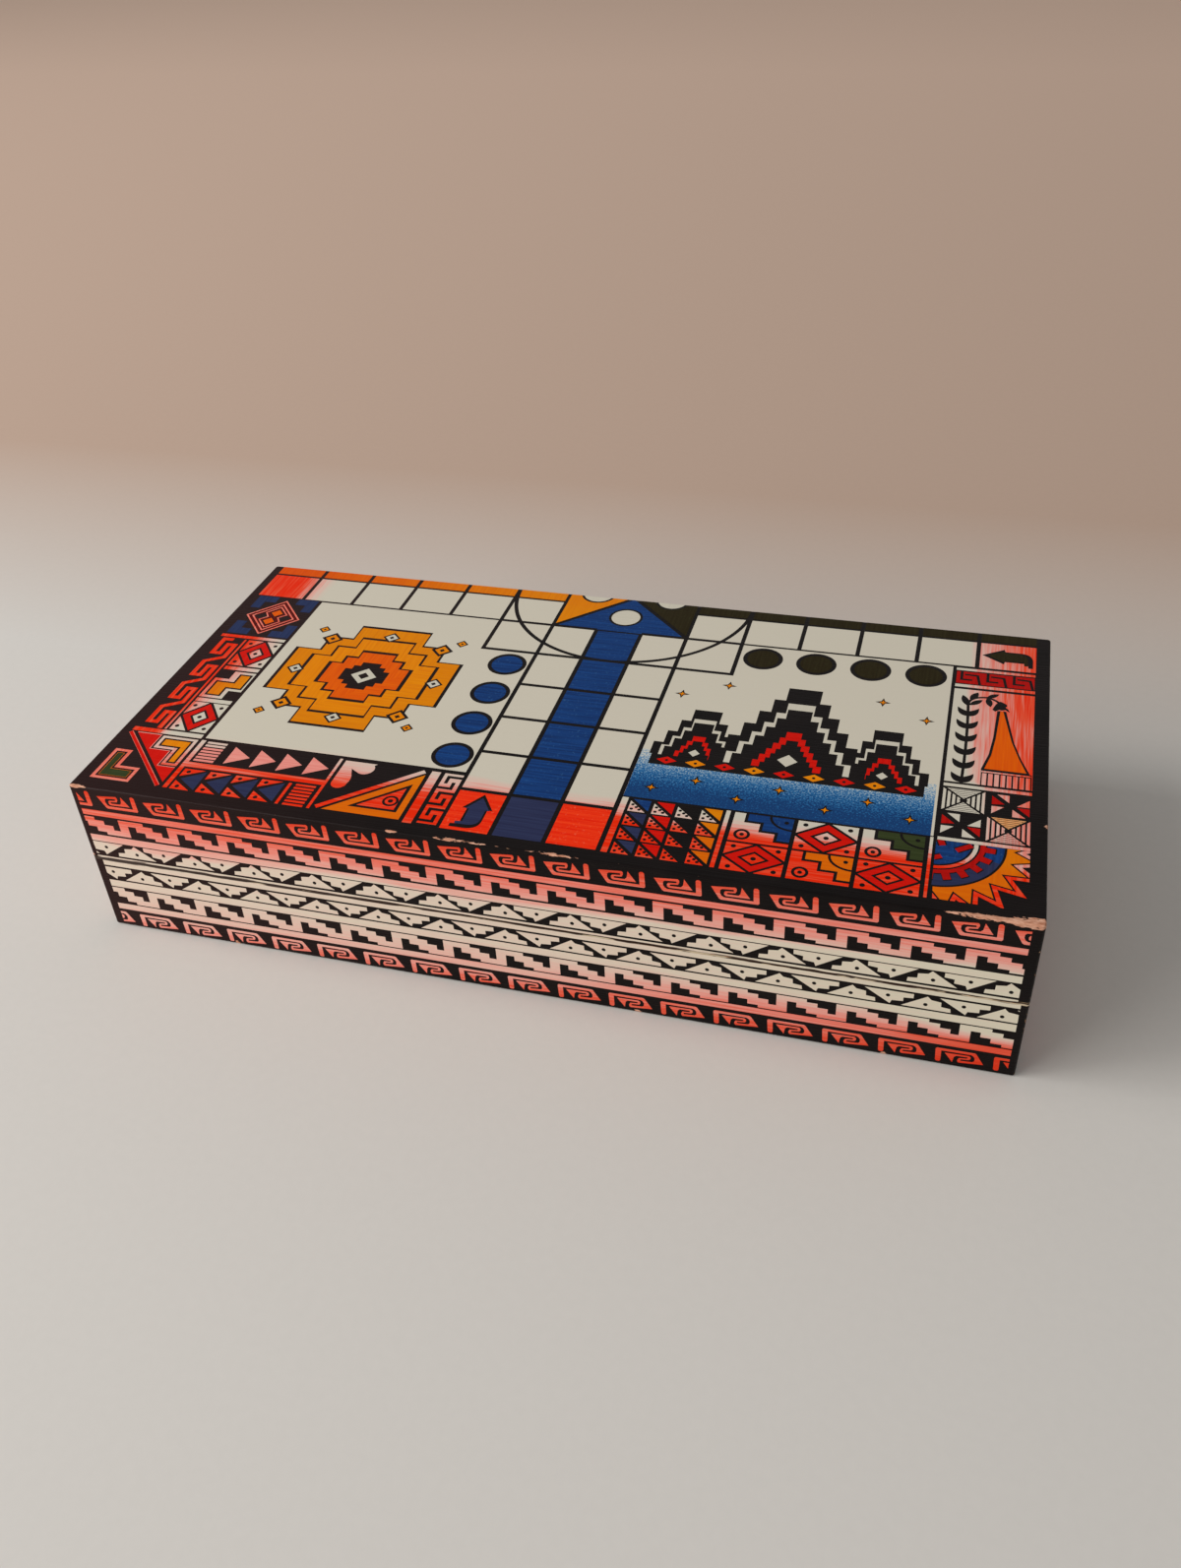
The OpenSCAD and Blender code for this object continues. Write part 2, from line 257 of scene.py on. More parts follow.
def pinwheel(u0, v0, u1, v1):
    """Six triangles round an open middle, the two side ones crimson."""
    w, h = u1 - u0, v1 - v0
    triangles = [
        ("wash", [(0.14, 0.98), (0.46, 0.98), (0.46, 0.64)]),
        ("deep_crimson", [(0.01, 0.90), (0.34, 0.55), (0.01, 0.50)]),
        ("wash", [(0.01, 0.42), (0.33, 0.42), (0.01, 0.08)]),
        ("wash", [(0.66, 0.52), (0.99, 0.52), (0.99, 0.86)]),
        ("deep_crimson", [(0.66, 0.46), (0.99, 0.46), (0.99, 0.10)]),
        ("wash", [(0.55, 0.36), (0.89, 0.02), (0.55, 0.02)]),
    ]
    return placed(triangles, u0, v0, w, h)


def turn_arrow(ink):
    """An outlined arrow that points up v from the origin at its tip, with a tail curling to the left."""
    tail = curve((3.3, -12.6), (3.3, -16.9), (-1.6, -16.9))
    outline = [(0, 0), (-4.9, -7.4), (-3.3, -7.4), (-3.3, -15.2), (-6.0, -15.4), (-6.0, -16.9),
               *tail[::-1], (3.3, -7.4), (4.9, -7.4)]
    return nested(outline, (0.2, -8.6), (1.0, 0.8), (BLACK, ink))


def base_circle(u, v, ink):
    """A place for a waiting counter: a black ring round a disc."""
    return [(BLACK, disc(u, v, BASE_RADIUS, 48)), (ink, disc(u, v, BASE_RADIUS - BASE_RING, 48))]


# The playing track


def side_arm(lane_ink):
    """Left arm of the board: the home lane along the hinge edge and the track cells beside it."""
    inner, outer = CENTRE_U - ARM, CENTRE_U - ARM_END
    layers = rects(lane_ink, (outer, LANE_V + 0.6, inner, DEPTH + 1))
    layers += rects("wash", (outer, ARM_V + 0.5, inner, LANE_V - 0.5))
    cells = inner - CELL_LENGTH * np.arange(1, 6)
    return layers + lines(GRID_LINE, *([(u, ARM_V), (u, DEPTH + 1)] for u in cells))


def near_arm(ink):
    """The arm towards the opening side: the coloured home column between two columns of track cells."""
    left, right = CENTRE_U - ARM, CENTRE_U + ARM
    home = (CENTRE_U - CELL_WIDTH / 2, CENTRE_U + CELL_WIDTH / 2)
    rows = ARM_V - 5 * CELL_LENGTH + CELL_LENGTH * np.arange(6)
    layers = rects("wash", (left, rows[0] + 0.5, right, ARM_V))
    layers += rects("red_brushed", (left + 0.6, NEAR_END, right - 0.6, rows[0] - 0.5))
    layers += rects(ink, (home[0], NEAR_END, home[1], ARM_V))
    if ink == "blue":
        layers += rects("navy", (home[0], NEAR_END, home[1], rows[0]))
    layers += placed(turn_arrow("navy"), CENTRE_U - CELL_WIDTH + 0.8, 23.2)
    layers += lines(GRID_LINE, *([(u, NEAR_END - 0.5), (u, ARM_V)] for u in (left, *home, right)))
    return layers + lines(GRID_LINE, *([(left, v), (right, v)] for v in rows))


def board_centre(near_ink, left_ink, right_ink):
    """The finish: three of its four triangles, their rings, the corner cells and the big circle's arc."""
    left, right, top, low = CENTRE_U - ARM, CENTRE_U + ARM, DEPTH + 1, ARM_V - CELL_LENGTH
    layers = []
    for side, inner in ((-1, left), (1, right)):
        u, home = CENTRE_U + side * (ARM + CELL_LENGTH), CENTRE_U + side * CELL_WIDTH / 2
        layers += rects("wash", (min(u, inner), low, max(u, inner), ARM_V))
        layers += lines(GRID_LINE, [(u, top), (u, low), (home, low)], [(inner, low), (inner, top)],
                        [(u, ARM_V), (inner, ARM_V)])
    apex = (CENTRE_U, CENTRE_V)
    layers += lines(GRID_LINE, arc(*apex, 45.2, 178, 362, 72))
    layers += [
        (left_ink, [(left + 0.6, ARM_V), apex, (CENTRE_U - 1, top), (left + 0.6, top)]),
        (right_ink, [(right - 0.6, ARM_V), (right - 0.6, top), (CENTRE_U + 1, top), apex]),
        (near_ink, [(left, ARM_V), (right, ARM_V), apex]),
    ]
    layers += lines(GRID_LINE, [(left, ARM_V), apex], [(right, ARM_V), apex],
                    [(left, ARM_V), (CENTRE_U - CELL_WIDTH / 2, ARM_V)],
                    [(CENTRE_U + CELL_WIDTH / 2, ARM_V), (right, ARM_V)])
    for du, v, radius in ((0.0, 136.4, 6.3), (-14.3, 151.6, 6.6), (14.4, 151.3, 6.3)):
        u = CENTRE_U + du
        layers += [(BLACK, disc(u, v, radius)), ("white", disc(u, v, radius - 0.95))]
    return layers


# Fields between the arms


def stepped_outline(arm, steps, unit):
    """A square cross whose inner corners climb in steps: corner by corner round a quarter, four times."""
    quarters = [unit * np.array([(arm - i, arm - steps + i + up) for i in range(steps) for up in (0, 1)])]
    for _ in range(3):
        quarters.append(quarters[-1] @ QUARTER_TURN)
    return np.vstack(quarters)


def stepped_cross_field(u, v, outer_ink, middle_ink, inner_ink):
    """A large stepped cross of three inks round a white eye, with small diamonds on and between its arms."""
    cross = stepped_outline(3.5, 3, 9.3) + (u, v)
    layers = nested(cross, (u, v), (1.0, 0.96, 0.76, 0.72, 0.5, 0.455, 0.26),
                    (BLACK, outer_ink, BLACK, middle_ink, BLACK, inner_ink, BLACK))
    layers += diamonds(u, v, 6.2, 6.2, (1.0, 0.78, 0.34), (BLACK, "white", BLACK))
    for quarter in range(4):
        for angle, reach, size, scales, ink in ((0, 26.4, 3.4, (1.0, 0.72, 0.28), "white"),
                                                (45, 30.5, 4.2, (1.0, 0.66, 0.25), middle_ink),
                                                (45, 38.5, 2.4, (1.0, 0.66, 0.25), middle_ink)):
            turn = math.radians(90 * quarter) + math.radians(angle)
            spot = np.array((math.cos(turn), math.sin(turn))) * reach + (u, v)
            layers += diamonds(*spot, size, size, scales, (BLACK, ink, BLACK))
    return layers


def pyramid(half, height, steps):
    """Half width and height of a stepped pyramid on its base line, drawn up one side and down the other."""
    run, rise = half / (steps + 0.5), height / steps
    left = [(-half + i * run, (i + up) * rise) for i in range(steps) for up in (0, 1)]
    return left + [(-u, v) for u, v in reversed(left)]


def hill_field(u0, v0, u1, sky_top, accent_ink):
    """Black stepped hills with pale and bright terraces over a stippled sky band with small four-pointed
    sparks."""
    width, base, count = u1 - u0, v0 + 22.5, 9
    layers = rects("sky", (u0, v0 - 0.8, u1, sky_top))
    layers += rects(BLACK, (u0 + 3.4, base - 5.4, u1 - 3.4, base + 0.2))
    for i in range(count):
        spot = (u0 + 4.2 + (width - 8.4) / count * (i + 0.5), base - 2.7)
        layers += [("amber" if i % 2 else accent_ink, diamond(*spot, 3.3, 1.9))] + dots(0.55, spot, points=12)
    for middle, half, height, steps in ((0.18, 14.0, 27.0, 4), (0.82, 14.0, 27.0, 4), (0.5, 24.5, 46.0, 6)):
        u = u0 + width * middle
        for scale, ink in ((1.0, BLACK), (0.8, "white"), (0.72, BLACK), (0.44, accent_ink), (0.34, BLACK)):
            layers += placed([(ink, pyramid(half, height, steps))], u, base, scale, scale)
        layers += [("white", diamond(u, base + height * 0.10, half * 0.13, height * 0.07))]
    for across, up in ((0.08, 5.0), (0.22, 11.0), (0.37, 4.5), (0.5, 11.5), (0.66, 4.8), (0.79, 11.2),
                       (0.93, 5.4), (0.06, 58.0), (0.22, 66.0), (0.78, 66.0), (0.94, 58.0)):
        layers += spark(u0 + width * across, v0 + up)
    return layers


def spark(u, v):
    """A small four-pointed star: eight points at a long and a short radius in turn, black round gold."""
    turn = np.radians(np.arange(8) * 45 + 90)
    reach = np.where(np.arange(8) % 2 == 0, 2.6, 0.95)
    star = np.column_stack((reach * np.cos(turn), reach * np.sin(turn)))
    return placed([(BLACK, star), ("amber", star * 0.5)], u, v)


# Ornamental borders


def left_column():
    """Stepped panels, diamonds and a meander along the left end."""
    corner = [(-12.5, 14.1), (-4.2, 14.1), (-4.2, 9.9), (-8.5, 9.9), (-8.5, 5.1), (-12.5, 5.1)]
    layers = [layer for su, sv in corners() for layer in placed([("slate", corner)], 17.0, 111.9, su, sv)]
    centre = (16.9, 111.4)
    layers += diamonds(*centre, 11.1, 12.6, (1.0, 0.93, 0.79, 0.72), ("salmon", "maroon", "salmon", "maroon"))
    notch = [(4.6, 2.5), (2.1, 0), (3.9, -3.1), (7.6, 0)]
    zigzag = [(0, 7.6), (4.6, 2.4), (2.1, -0.1), (4.0, -2.9), (0, -7.4)]
    for side in (-1, 1):
        layers += placed([(BLACK, notch), ("salmon", stroke(zigzag, 0.5))], *centre, side, side)
        spot = (centre[0] + 0.35 * side, centre[1] + 3.0 * side)
        layers += diamonds(*spot, 2.9, 3.1, (1.0, 0.8), (BLACK, "flame"))
    layers += rects("wash", (3.6, 94.9, 29.5, 96.7))
    layers += diamond_panel(15.85, 35.5, 29.4, 52.5) + diamond_panel(15.85, 77.0, 29.4, 94.0)
    layers += rects("wash", (15.85, 53.0, 29.4, 55.1), (15.85, 73.9, 29.4, 76.0))
    layers += [("wash", angled(15.8, 55.8, 29.5, 73.0, 24.7, 21.2, 60.9, 68.0)),
               (BLACK, angled(17.1, 57.2, 28.9, 71.7, 23.2, 23.8, 62.2, 66.5)),
               ("orange", angled(17.9, 58.0, 28.1, 70.9, 22.4, 24.6, 63.0, 65.7))]
    layers += rects("wash", (14.1, 35.2, 14.9, 94.0), (3.5, 32.4, 29.5, 34.6))
    path = [(u, low + v) for low in (35.0, 50.0, 65.0, 80.0)
            for u, v in ((12.2, 1.3), (12.2, 9.7), (9.4, 9.7), (9.3, 3.6), (6.2, 3.6), (6.2, 12.5))]
    return layers + [("wash", stroke([(12.2, 35.2), *path[1:-1], (6.2, 93.2), (9.9, 93.2)], 1.8))]


def hook(u0, v0, u1, v1, u, v, inset):
    """A right-angled hook, each side drawn in by an inset: from a first corner along v0 to the outer corner
    of its bend, on to the end of its other arm, and back along the inside of the bend at u and v."""
    du, dv = math.copysign(inset, u1 - u0), math.copysign(inset, v0 - v1)
    return [(u0 + du, v0 - dv), (u1 - du, v0 - dv), (u1 - du, v1 + dv), (u + du, v1 + dv), (u + du, v + dv),
            (u0 + du, v + dv)]


def near_left_corner():
    """Two stepped corners on either side of a slanting crimson band."""
    pale = [(6.6, 31.9), (15.9, 31.9), (15.9, 24.0), (23.4, 24.0), (23.4, 15.9), (29.7, 15.9), (29.7, 7.9)]
    deep = [(6.8, 31.5), (15.6, 31.5), (15.6, 23.7), (23.1, 23.7), (23.1, 15.6), (29.7, 15.6), (29.7, 7.9)]
    layers = [("salmon", stroke([(4.2, 31.5), (28.9, 6.0)], 1.45)),
              ("crimson", stroke([(4.2, 31.4), (28.9, 5.9)], 1.1)), ("rose", pale), ("crimson", deep)]
    for ends, inks in (((16.65, 31.5, 29.7, 16.5, 23.95, 24.6),
                        ((BLACK, -0.55), ("wash", 0.0), (BLACK, 1.15), ("amber", 1.9))),
                       ((18.6, 5.4, 4.4, 21.7, 11.0, 13.2),
                        (("salmon", 0.1), (BLACK, 1.3), ("orange", 2.05), ("olive", 2.2)))):
        layers += [(ink, hook(*ends, inset)) for ink, inset in inks]
    return layers


def near_band_left():
    """Hatching, rows of triangles, a leaf, nested triangles and a key pattern left of the near arm."""
    layers = rects("wash", (30.9, 5.5, 32.5, 31.8), (30.9, 17.1, 81.3, 19.7), (70.35, 5.3, 71.4, 16.1),
                   (81.1, 5.3, 82.1, 31.6))
    layers += bars("rose", 33.5, 20.6, 40.7, 28.1, 5, share=0.66)
    layers += bars("wash", 33.5, 28.73, 40.7, 31.4, 2, share=0.66) + bars("wash", 72.85, 5.3, 79.7, 16.1, 7)
    layers += [("rose", [(u, 21.0), (u + 7.4, 25.6), (u, 30.4)]) for u in 44.15 + 9.33 * np.arange(4)]
    for u in 33.4 + 9.18 * np.arange(4):
        layers += [("wash", [(u, 16.1), (u, 11.9), (u + 7.4, 16.1)]), *dots(0.75, (u + 2.0, 14.6)),
                   ("navy", [(u + 1.15, 10.8), (u + 8.2, 6.0), (u + 8.2, 15.6)]),
                   ("wash", [(u, 9.8), (u, 5.4), (u + 6.9, 5.4)]), *dots(0.75, (u + 2.0, 6.9))]
    lobe = [(83, 31), (94, 31), *arc(90.9, 28.2, 3.1, 40, -110, 9), (86.6, 27.2),
            *curve((87.6, 24.6), (88.9, 22.0), (88.1, 19.4)), *arc(85.6, 19.3, 2.6, -10, -170, 9)]
    layers += placed([("wash", lobe)], 0.35)
    layers += [("wash", stroke([(83.7, 6.6), (110.8, 30.6)], 1.75)),
               ("orange", [(85.9, 5.9), (111.6, 5.9), (111.6, 28.9)]),
               (BLACK, [(93.3, 9.0), (109.5, 9.0), (109.5, 23.5)]),
               ("wash", [(95.9, 10.0), (108.3, 10.0), (108.3, 21.0)])]
    layers += nested(disc(105.7, 14.0, 2.6), (105.7, 14.0), (1.0, 0.68, 0.32), (BLACK, "wash", BLACK))
    layers += rects("wash", (113.0, 5.0, 116.0, 31.3), (117.5, 5.8, 123.8, 31.2))
    for low in 23.8 - 8.25 * np.arange(3):
        layers += lines(1.2, [(117.4, low), (121.9, low), (121.9, low + 3.2)],
                        [(123.9, low + 5.7), (119.3, low + 5.7), (119.3, low + 2.3)])
    return layers


def near_band_right():
    """A grid of dotted triangles and six panels of stairs and diamonds right of the near arm."""
    layers = rects("wash", (175.45, 4.6, 177.4, 31.2))
    for i, column in enumerate(("navy", "crimson", BLACK, "orange")):
        for j in range(4):
            u, v = 178.0 + 7.35 * i, 4.9 + 6.7 * j
            layers += [("wash", [(u + 0.4, v - 0.2), (u + 5.8, v - 0.2), (u + 0.4, v + 4.85)])]
            grains = ((1.4, 0.95), (3.8, 0.95), (2.7, 2.0), (1.4, 3.1))
            layers += dots(0.56, *((u + du, v + dv) for du, dv in grains), points=8)
            if column is not BLACK:
                ink = "blue" if column == "navy" and j > 2 else column
                layers += [(ink, [(u + 6.6, v + 0.65), (u + 6.6, v + 5.8), (u + 1.0, v + 5.8)])]
    layers += rects("wash", (207.7, 4.6, 209.0, 31.2), (267.4, 4.7, 268.3, 31.4))
    for i, (low_ink, high_ink) in enumerate(((None, "blue"), ("orange", None), (None, "olive"))):
        u0 = 210.4 + 19.0 * i
        for v0, v1, ink in ((4.5, 16.9, low_ink), (17.7, 30.95, high_ink)):
            box = (u0, v0, u0 + 17.7, v1)
            layers += stairs_panel(*box, ink) if ink else diamond_panel(*box)
    return layers


def right_column():
    """A key band, a sprig beside a tapering flame over stripes, and a chequer of four patterns."""
    layers = rects("wash", *((269.4, low, 295.2, high) for low, high in
                             ((123.7, 125.2), (113.3, 115.0), (59.5, 112.0), (57.0, 58.5), (30.65, 32.1))))
    layers += rects("deep_crimson", (269.6, 115.6, 295.0, 123.0))
    for u in 271.3 + 8.55 * np.arange(3):
        layers += lines(0.95, [(u, 123.2), (u, 118.0), (u + 3.5, 118.0)],
                        [(u + 6.1, 115.4), (u + 5.2, 121.0), (u + 1.0, 121.2)])
    stem = np.vstack((curve((274.4, 59.5), (275.2, 80), (274.3, 103)),
                      curve((274.3, 103), (274.4, 107.8), (280.2, 108.2)),
                      curve((280.2, 108.2), (282.5, 107.6), (284.4, 105.4))))
    layers += lines(0.95, np.delete(stem, (8, 16), axis=0))
    leaf = np.vstack((curve((0, 0), (3.7, 0.2), (3.4, 5.2)), curve((3.4, 5.2), (1.7, 3.5), (0, 2.9))[1:]))
    for v in 59.5 + 7.3 * np.arange(6):
        layers += placed([(BLACK, leaf)], 274.5, v, -1) + placed([(BLACK, leaf)], 274.5, v)
    for base, tip, bulge in (((274.3, 102.0), (272.3, 108.4), 1.2), ((274.6, 102.6), (278.8, 106.5), 1.1),
                             ((274.8, 105.6), (277.2, 110.8), 1.2), ((279.9, 107.9), (283.9, 110.9), 1.0),
                             ((280.3, 108.3), (281.4, 102.8), 1.1)):
        layers += [(BLACK, lens(base, tip, bulge))]
    calyx = [(284.9, 101.4), (284.2, 101.7), (282.9, 100.4), (282.0, 101.4), (282.9, 104.4), (283.7, 106.0),
             (284.5, 106.7), (286.4, 105.3), (286.7, 104.1), (286.1, 103.5), (287.1, 102.2), (287.5, 100.7),
             (286.1, 101.9)]
    outer = [(279.8, 67.4), (294.5, 67.4), (291.7, 75.0), (289.4, 83.4), (286.4, 101.0), (283.6, 101.0),
             (282.9, 85.6), (281.9, 76.0)]
    inner = [(280.9, 68.1), (293.4, 68.1), (290.9, 75.6), (288.6, 84.0), (285.5, 100.9), (284.6, 100.9),
             (283.7, 85.0), (282.7, 75.6)]
    layers += [(BLACK, outer), ("flame", inner), (BLACK, calyx)]
    layers += rects(BLACK, (280.0, 59.5, 295.0, 67.4)) + rects("wash", (280.1, 66.2, 294.8, 66.9))
    layers += bars("wash", 280.4, 59.6, 294.6, 65.7, 8, upright=True, share=0.72)
    layers += hourglass(269.5, 45.1, 281.8, 56.1) + pinwheel(283.7, 45.3, 294.8, 55.9)
    return layers + pinwheel(269.8, 33.0, 281.2, 43.9) + hourglass(282.8, 32.9, 295.0, 44.3, "apricot")


def rayed_corner():
    """A quarter of a toothed wheel with pointed rays, in the near right corner."""
    hub = (268.75, 29.9)
    turn = np.radians(-87.6 + 7.175 * np.arange(15))
    layers = []
    for tip, valley, ink in ((32.6, 25.3, "wash"), (29.1, 22.9, BLACK), (27.8, 21.9, "orange")):
        reach = np.where(np.arange(15) % 2, tip, valley)
        rays = np.column_stack((hub[0] + reach * np.cos(turn), hub[1] + reach * np.sin(turn)))
        layers += [(ink, [*rays, hub])]
    layers += [(ink, [*arc(*hub, radius, start, 10, points), hub]) for ink, radius, start, points in
               ((BLACK, 20.2, -95, 24), ("navy", 19.5, -95, 24), ("blue", 19.5, -20, 12))]
    for grow, ink in ((0.42, BLACK), (0.0, "deep_crimson")):
        teeth = []
        for angle in -92 + 17.4 * np.arange(7):
            teeth += [*arc(*hub, 14.3 + grow, angle - 8.3, angle - 4.6 - grow, 2),
                      *arc(*hub, 17.1 + grow, angle - 3.7 - grow, angle + 3.7 + grow, 2),
                      *arc(*hub, 14.3 + grow, angle + 4.6 + grow, angle + 8.3, 2)]
        layers += [(ink, [*teeth, hub])]
    layers += [(ink, [*arc(*hub, radius, -95, 10, 24), hub]) for radius, ink in
               ((12.8, BLACK), (12.25, "wash"), (11.05, BLACK), (10.4, "blue"))]
    for path in (((275.0, 26.7), (279.2, 29.8)), ((268.9, 22.3), (271.0, 23.4)),
                 ((270.2, 31.0), (271.1, 28.2))):
        layers += [(BLACK, stroke(path, 2.7)), ("deep_crimson", stroke(path, 1.8))]
    return layers + rects(BLACK, (262, 30.5, 300, 36), (262, 0, 269.2, 36), (295.2, 0, 300, 36),
                          (262, 0, 300, 4.8))


# Inks of each half: near, left and right home, the cross in the left field and the hills in the right one
BOARD_HALVES = {
    "lid": ("blue", "orange", "green", ("orange", "amber", "flame"), "crimson"),
    "base": ("crimson", "green", "orange", ("green", "olive", "blue"), "amber"),
}


def board_half(near_ink, left_ink, right_ink, cross_inks, hill_ink):
    """One half of the board, from the opening side to the hinge side."""
    left, right = 31.4, CENTRE_U - ARM - 0.6
    mirror = {"du": 2 * CENTRE_U, "su": -1}
    layers = rayed_corner() + rects("wash", (left, 33.0, right, ARM_V - 0.5))
    layers += placed(rects("wash", (2 * CENTRE_U - 268.2, 31.9, right, ARM_V - 0.5)), **mirror)
    layers += stepped_cross_field(68.5, 79.5, *cross_inks) + hill_field(175.4, 32.6, 267.4, 57.0, hill_ink)
    layers += side_arm(left_ink) + placed(side_arm(right_ink), **mirror)
    layers += near_arm(near_ink) + turned(turn_arrow(right_ink), 277.4, 135.0)
    layers += board_centre(near_ink, left_ink, right_ink)
    for step in BASE_STEP * np.arange(4):
        layers += base_circle(116.2, 41.0 + step, near_ink) + base_circle(203.8 + step, 117.8, right_ink)
    layers += placed(left_column(), du=0.5) + near_left_corner() + near_band_left()
    return layers + near_band_right() + right_column()


# Bands round the sides


def hook_ornament():
    """A spiral hook that ends in a spike, as it stands in the upper half: width 14, height 6.1."""
    return [("side_wash", [
        (0, 4.6), (7, 5.3), (7.4, 4.9), (7.45, 4.1), (7.05, 3.2), (4.9, 2.95), (4.6, 2.7), (4.75, 2.35),
        (7.9, 2.4), (8.5, 3.1), (8.85, 5.55), (11.3, 1.8), (4.4, 1.6), (3.85, 2), (3.8, 2.9), (4.2, 3.45),
        (6.5, 3.7), (6.7, 4), (6.5, 4.35), (3.2, 4.1), (2.7, 3.6), (2.65, 2.4), (3.1, 1.5), (3.8, 1.05),
        (12.3, 1.1), (12.2, 5.5), (12.5, 6), (13.3, 6.05), (13.75, 5.6), (14, 0.5), (13.6, 0.05), (2.9, 0),
        (2.4, 0.3)])]


def fret_repeat():
    """One repeat of the stepped fret: a riser, a flight of steps down and a foot that joins the next
    riser."""
    return [("side_wash", [
        (17.75, 0), (17.75, 2.2), (15.3, 2.2), (15.3, 4), (12.2, 4), (12.2, 5.6), (9, 5.6), (9, 6.8),
        (0, 6.8), (0, 0), (3.2, 0), (3.2, 4.7), (6, 4.7), (6, 2.8), (9, 2.8), (9, 1), (12.2, 1), (12.2, 0)])]


def tooth_pair(apart=0.0):
    """A rising and a hanging stepped tooth with a dot each, in the upper half: pitch 21.3, height 5.3. The
    hanging one may stand further from the rising one."""
    rising = [(0, 0), (14.0, 0.1), (6.8, 5.2), (5.7, 4.0), (2.9, 3.6), (2.8, 1.8), (0.2, 1.5)]
    hanging = [(10.2, 5.3), (10.2, 3.6), (13.0, 3.3), (13.0, 1.8), (16.2, 1.5), (16.7, 0.1), (24.2, 5.3)]
    return [("side_wash", rising), *dots(0.64, (7.2, 1.8), points=12),
            *placed([("side_wash", hanging), *dots(0.64, (17.4, 3.3), points=12)], apart)]


def repeated(layers, first, low, pitch, length, **change):
    """The layers side by side from one place to past the far end."""
    count = int((length - first) / pitch) + 1
    return [layer for k in range(count) for layer in placed(layers, first + pitch * k, low, **change)]


def plain_bands(length, *heights):
    """Plain bands that run the length of a side, each from a low to a high edge."""
    return rects("side_wash", *((-1, low, length + 1, high) for low, high in heights))


def base_bands(length):
    """Bands of one side of the lower half, from the bottom edge up. Their screen lay a little askew, so they
    climb by their slope times the distance from the middle."""
    layers = plain_bands(length, (8.0, 10.5), (18.2, 21.1), (27.6, 33.0))
    layers += repeated(hook_ornament(), 8.2, 6.65, 16.62, length + 8, su=-1, sv=-0.94)
    layers += repeated(fret_repeat(), -18.6, 10.95, 17.71, length)
    layers += repeated(tooth_pair(0.5), 2.73, 21.65, 21.27, length + 24, su=-1, sv=0.98)
    slope = np.array(((1, BASE_SLOPE), (0, 1)))
    return [(ink, np.array(outline, float) @ slope - (0, BASE_SLOPE * length / 2)) for ink, outline in layers]


def lid_bands(length):
    """Bands of one side of the upper half, from the joint up."""
    layers = plain_bands(length, (30.4, 31.3), (37.7, 40.4), (48.65, 50.95))
    layers += repeated(hook_ornament(), -7.0, 52.45, 16.63, length)
    layers += repeated(fret_repeat(), -20.9, 41.15, 17.74, length)
    return layers + repeated(tooth_pair(), -10.7, 32.05, 21.28, length)


# From outlines to films


def partitioned(layers, window, folds=()):
    """Cuts overlapping outlines into triangles that know their topmost layer.

    A constrained triangulation of all outlines lists the outlines that hold each triangle; the last of them
    gives the ink. Triangles outside the window, or with black on top, are left out.
    """
    u0, v0, u1, v1 = window
    loops, faces, count = [], [], 0
    for _, outline in layers:
        loop = np.array(outline, float)
        ahead = np.roll(loop, -1, axis=0)
        if np.sum(loop[:, 0] * ahead[:, 1] - ahead[:, 0] * loop[:, 1]) < 0:
            loop = loop[::-1]
        loops.append(loop)
        faces.append(list(range(count, count + len(loop))))
        count += len(loop)
    frame_lines = [((u0, v0), (u1, v0)), ((u1, v0), (u1, v1)), ((u1, v1), (u0, v1)), ((u0, v1), (u0, v0))]
    cuts = np.array(frame_lines + [((u0, v), (u1, v)) for v in folds], float).reshape(-1, 2)
    edges = np.arange(count, count + len(cuts)).reshape(-1, 2).tolist()
    points = np.vstack(loops + [cuts]).tolist()
    verts, _, triangles, _, _, owners = delaunay_2d_cdt(points, edges, faces, 1, 1e-4, True)
    flat = np.array(verts)
    triangles = np.array(triangles)
    topmost = np.array([max(owner, default=-1) for owner in owners])
    inked = np.array([ink is not BLACK for ink, _ in layers] + [False])[topmost]
    middle = flat[triangles].mean(axis=1)
    kept = inked & (middle > (u0, v0)).all(axis=1) & (middle < (u1, v1)).all(axis=1)
    used, index = np.unique(triangles[kept], return_inverse=True)
    return flat[used], index.reshape(-1, 3), [layers[owner][0] for owner in topmost[kept]]


def film(name, body, layers, window, surface, materials, folds=()):
    """A sheet of ink on one face: each point of the drawing goes where surface(u, v) puts it, in
    millimetres."""
    flat, triangles, inks = partitioned(layers, window, folds)
    mesh = bpy.data.meshes.new(name)
    spots = surface(flat[:, 0], flat[:, 1]) * MM
    mesh.from_pydata(spots.tolist(), [], triangles.tolist())
    names = sorted(set(inks))
    for ink in names:
        mesh.materials.append(materials[ink])
    mesh.polygons.foreach_set("material_index", np.array([names.index(ink) for ink in inks], np.int32))
    u0, v0, u1, v1 = window
    loops = np.empty(len(mesh.loops), np.int32)
    mesh.loops.foreach_get("vertex_index", loops)
    spread = (flat[loops] - (u0, v0)) / (u1 - u0, v1 - v0) * 0.98 + 0.01
    mesh.uv_layers.new(name="OFBake").data.foreach_set("uv", spread.astype(np.float32).ravel())
    mesh.update()
    piece = bpy.data.objects.new(name, mesh)
    bpy.context.scene.collection.objects.link(piece)
    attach(piece, body)
    return piece


# Finishes


def fill(socket, value):
    """Links an input to another node's output, or sets it to a plain value."""
    if isinstance(value, bpy.types.NodeSocket):
        socket.id_data.links.new(value, socket)
    else:
        socket.default_value = value


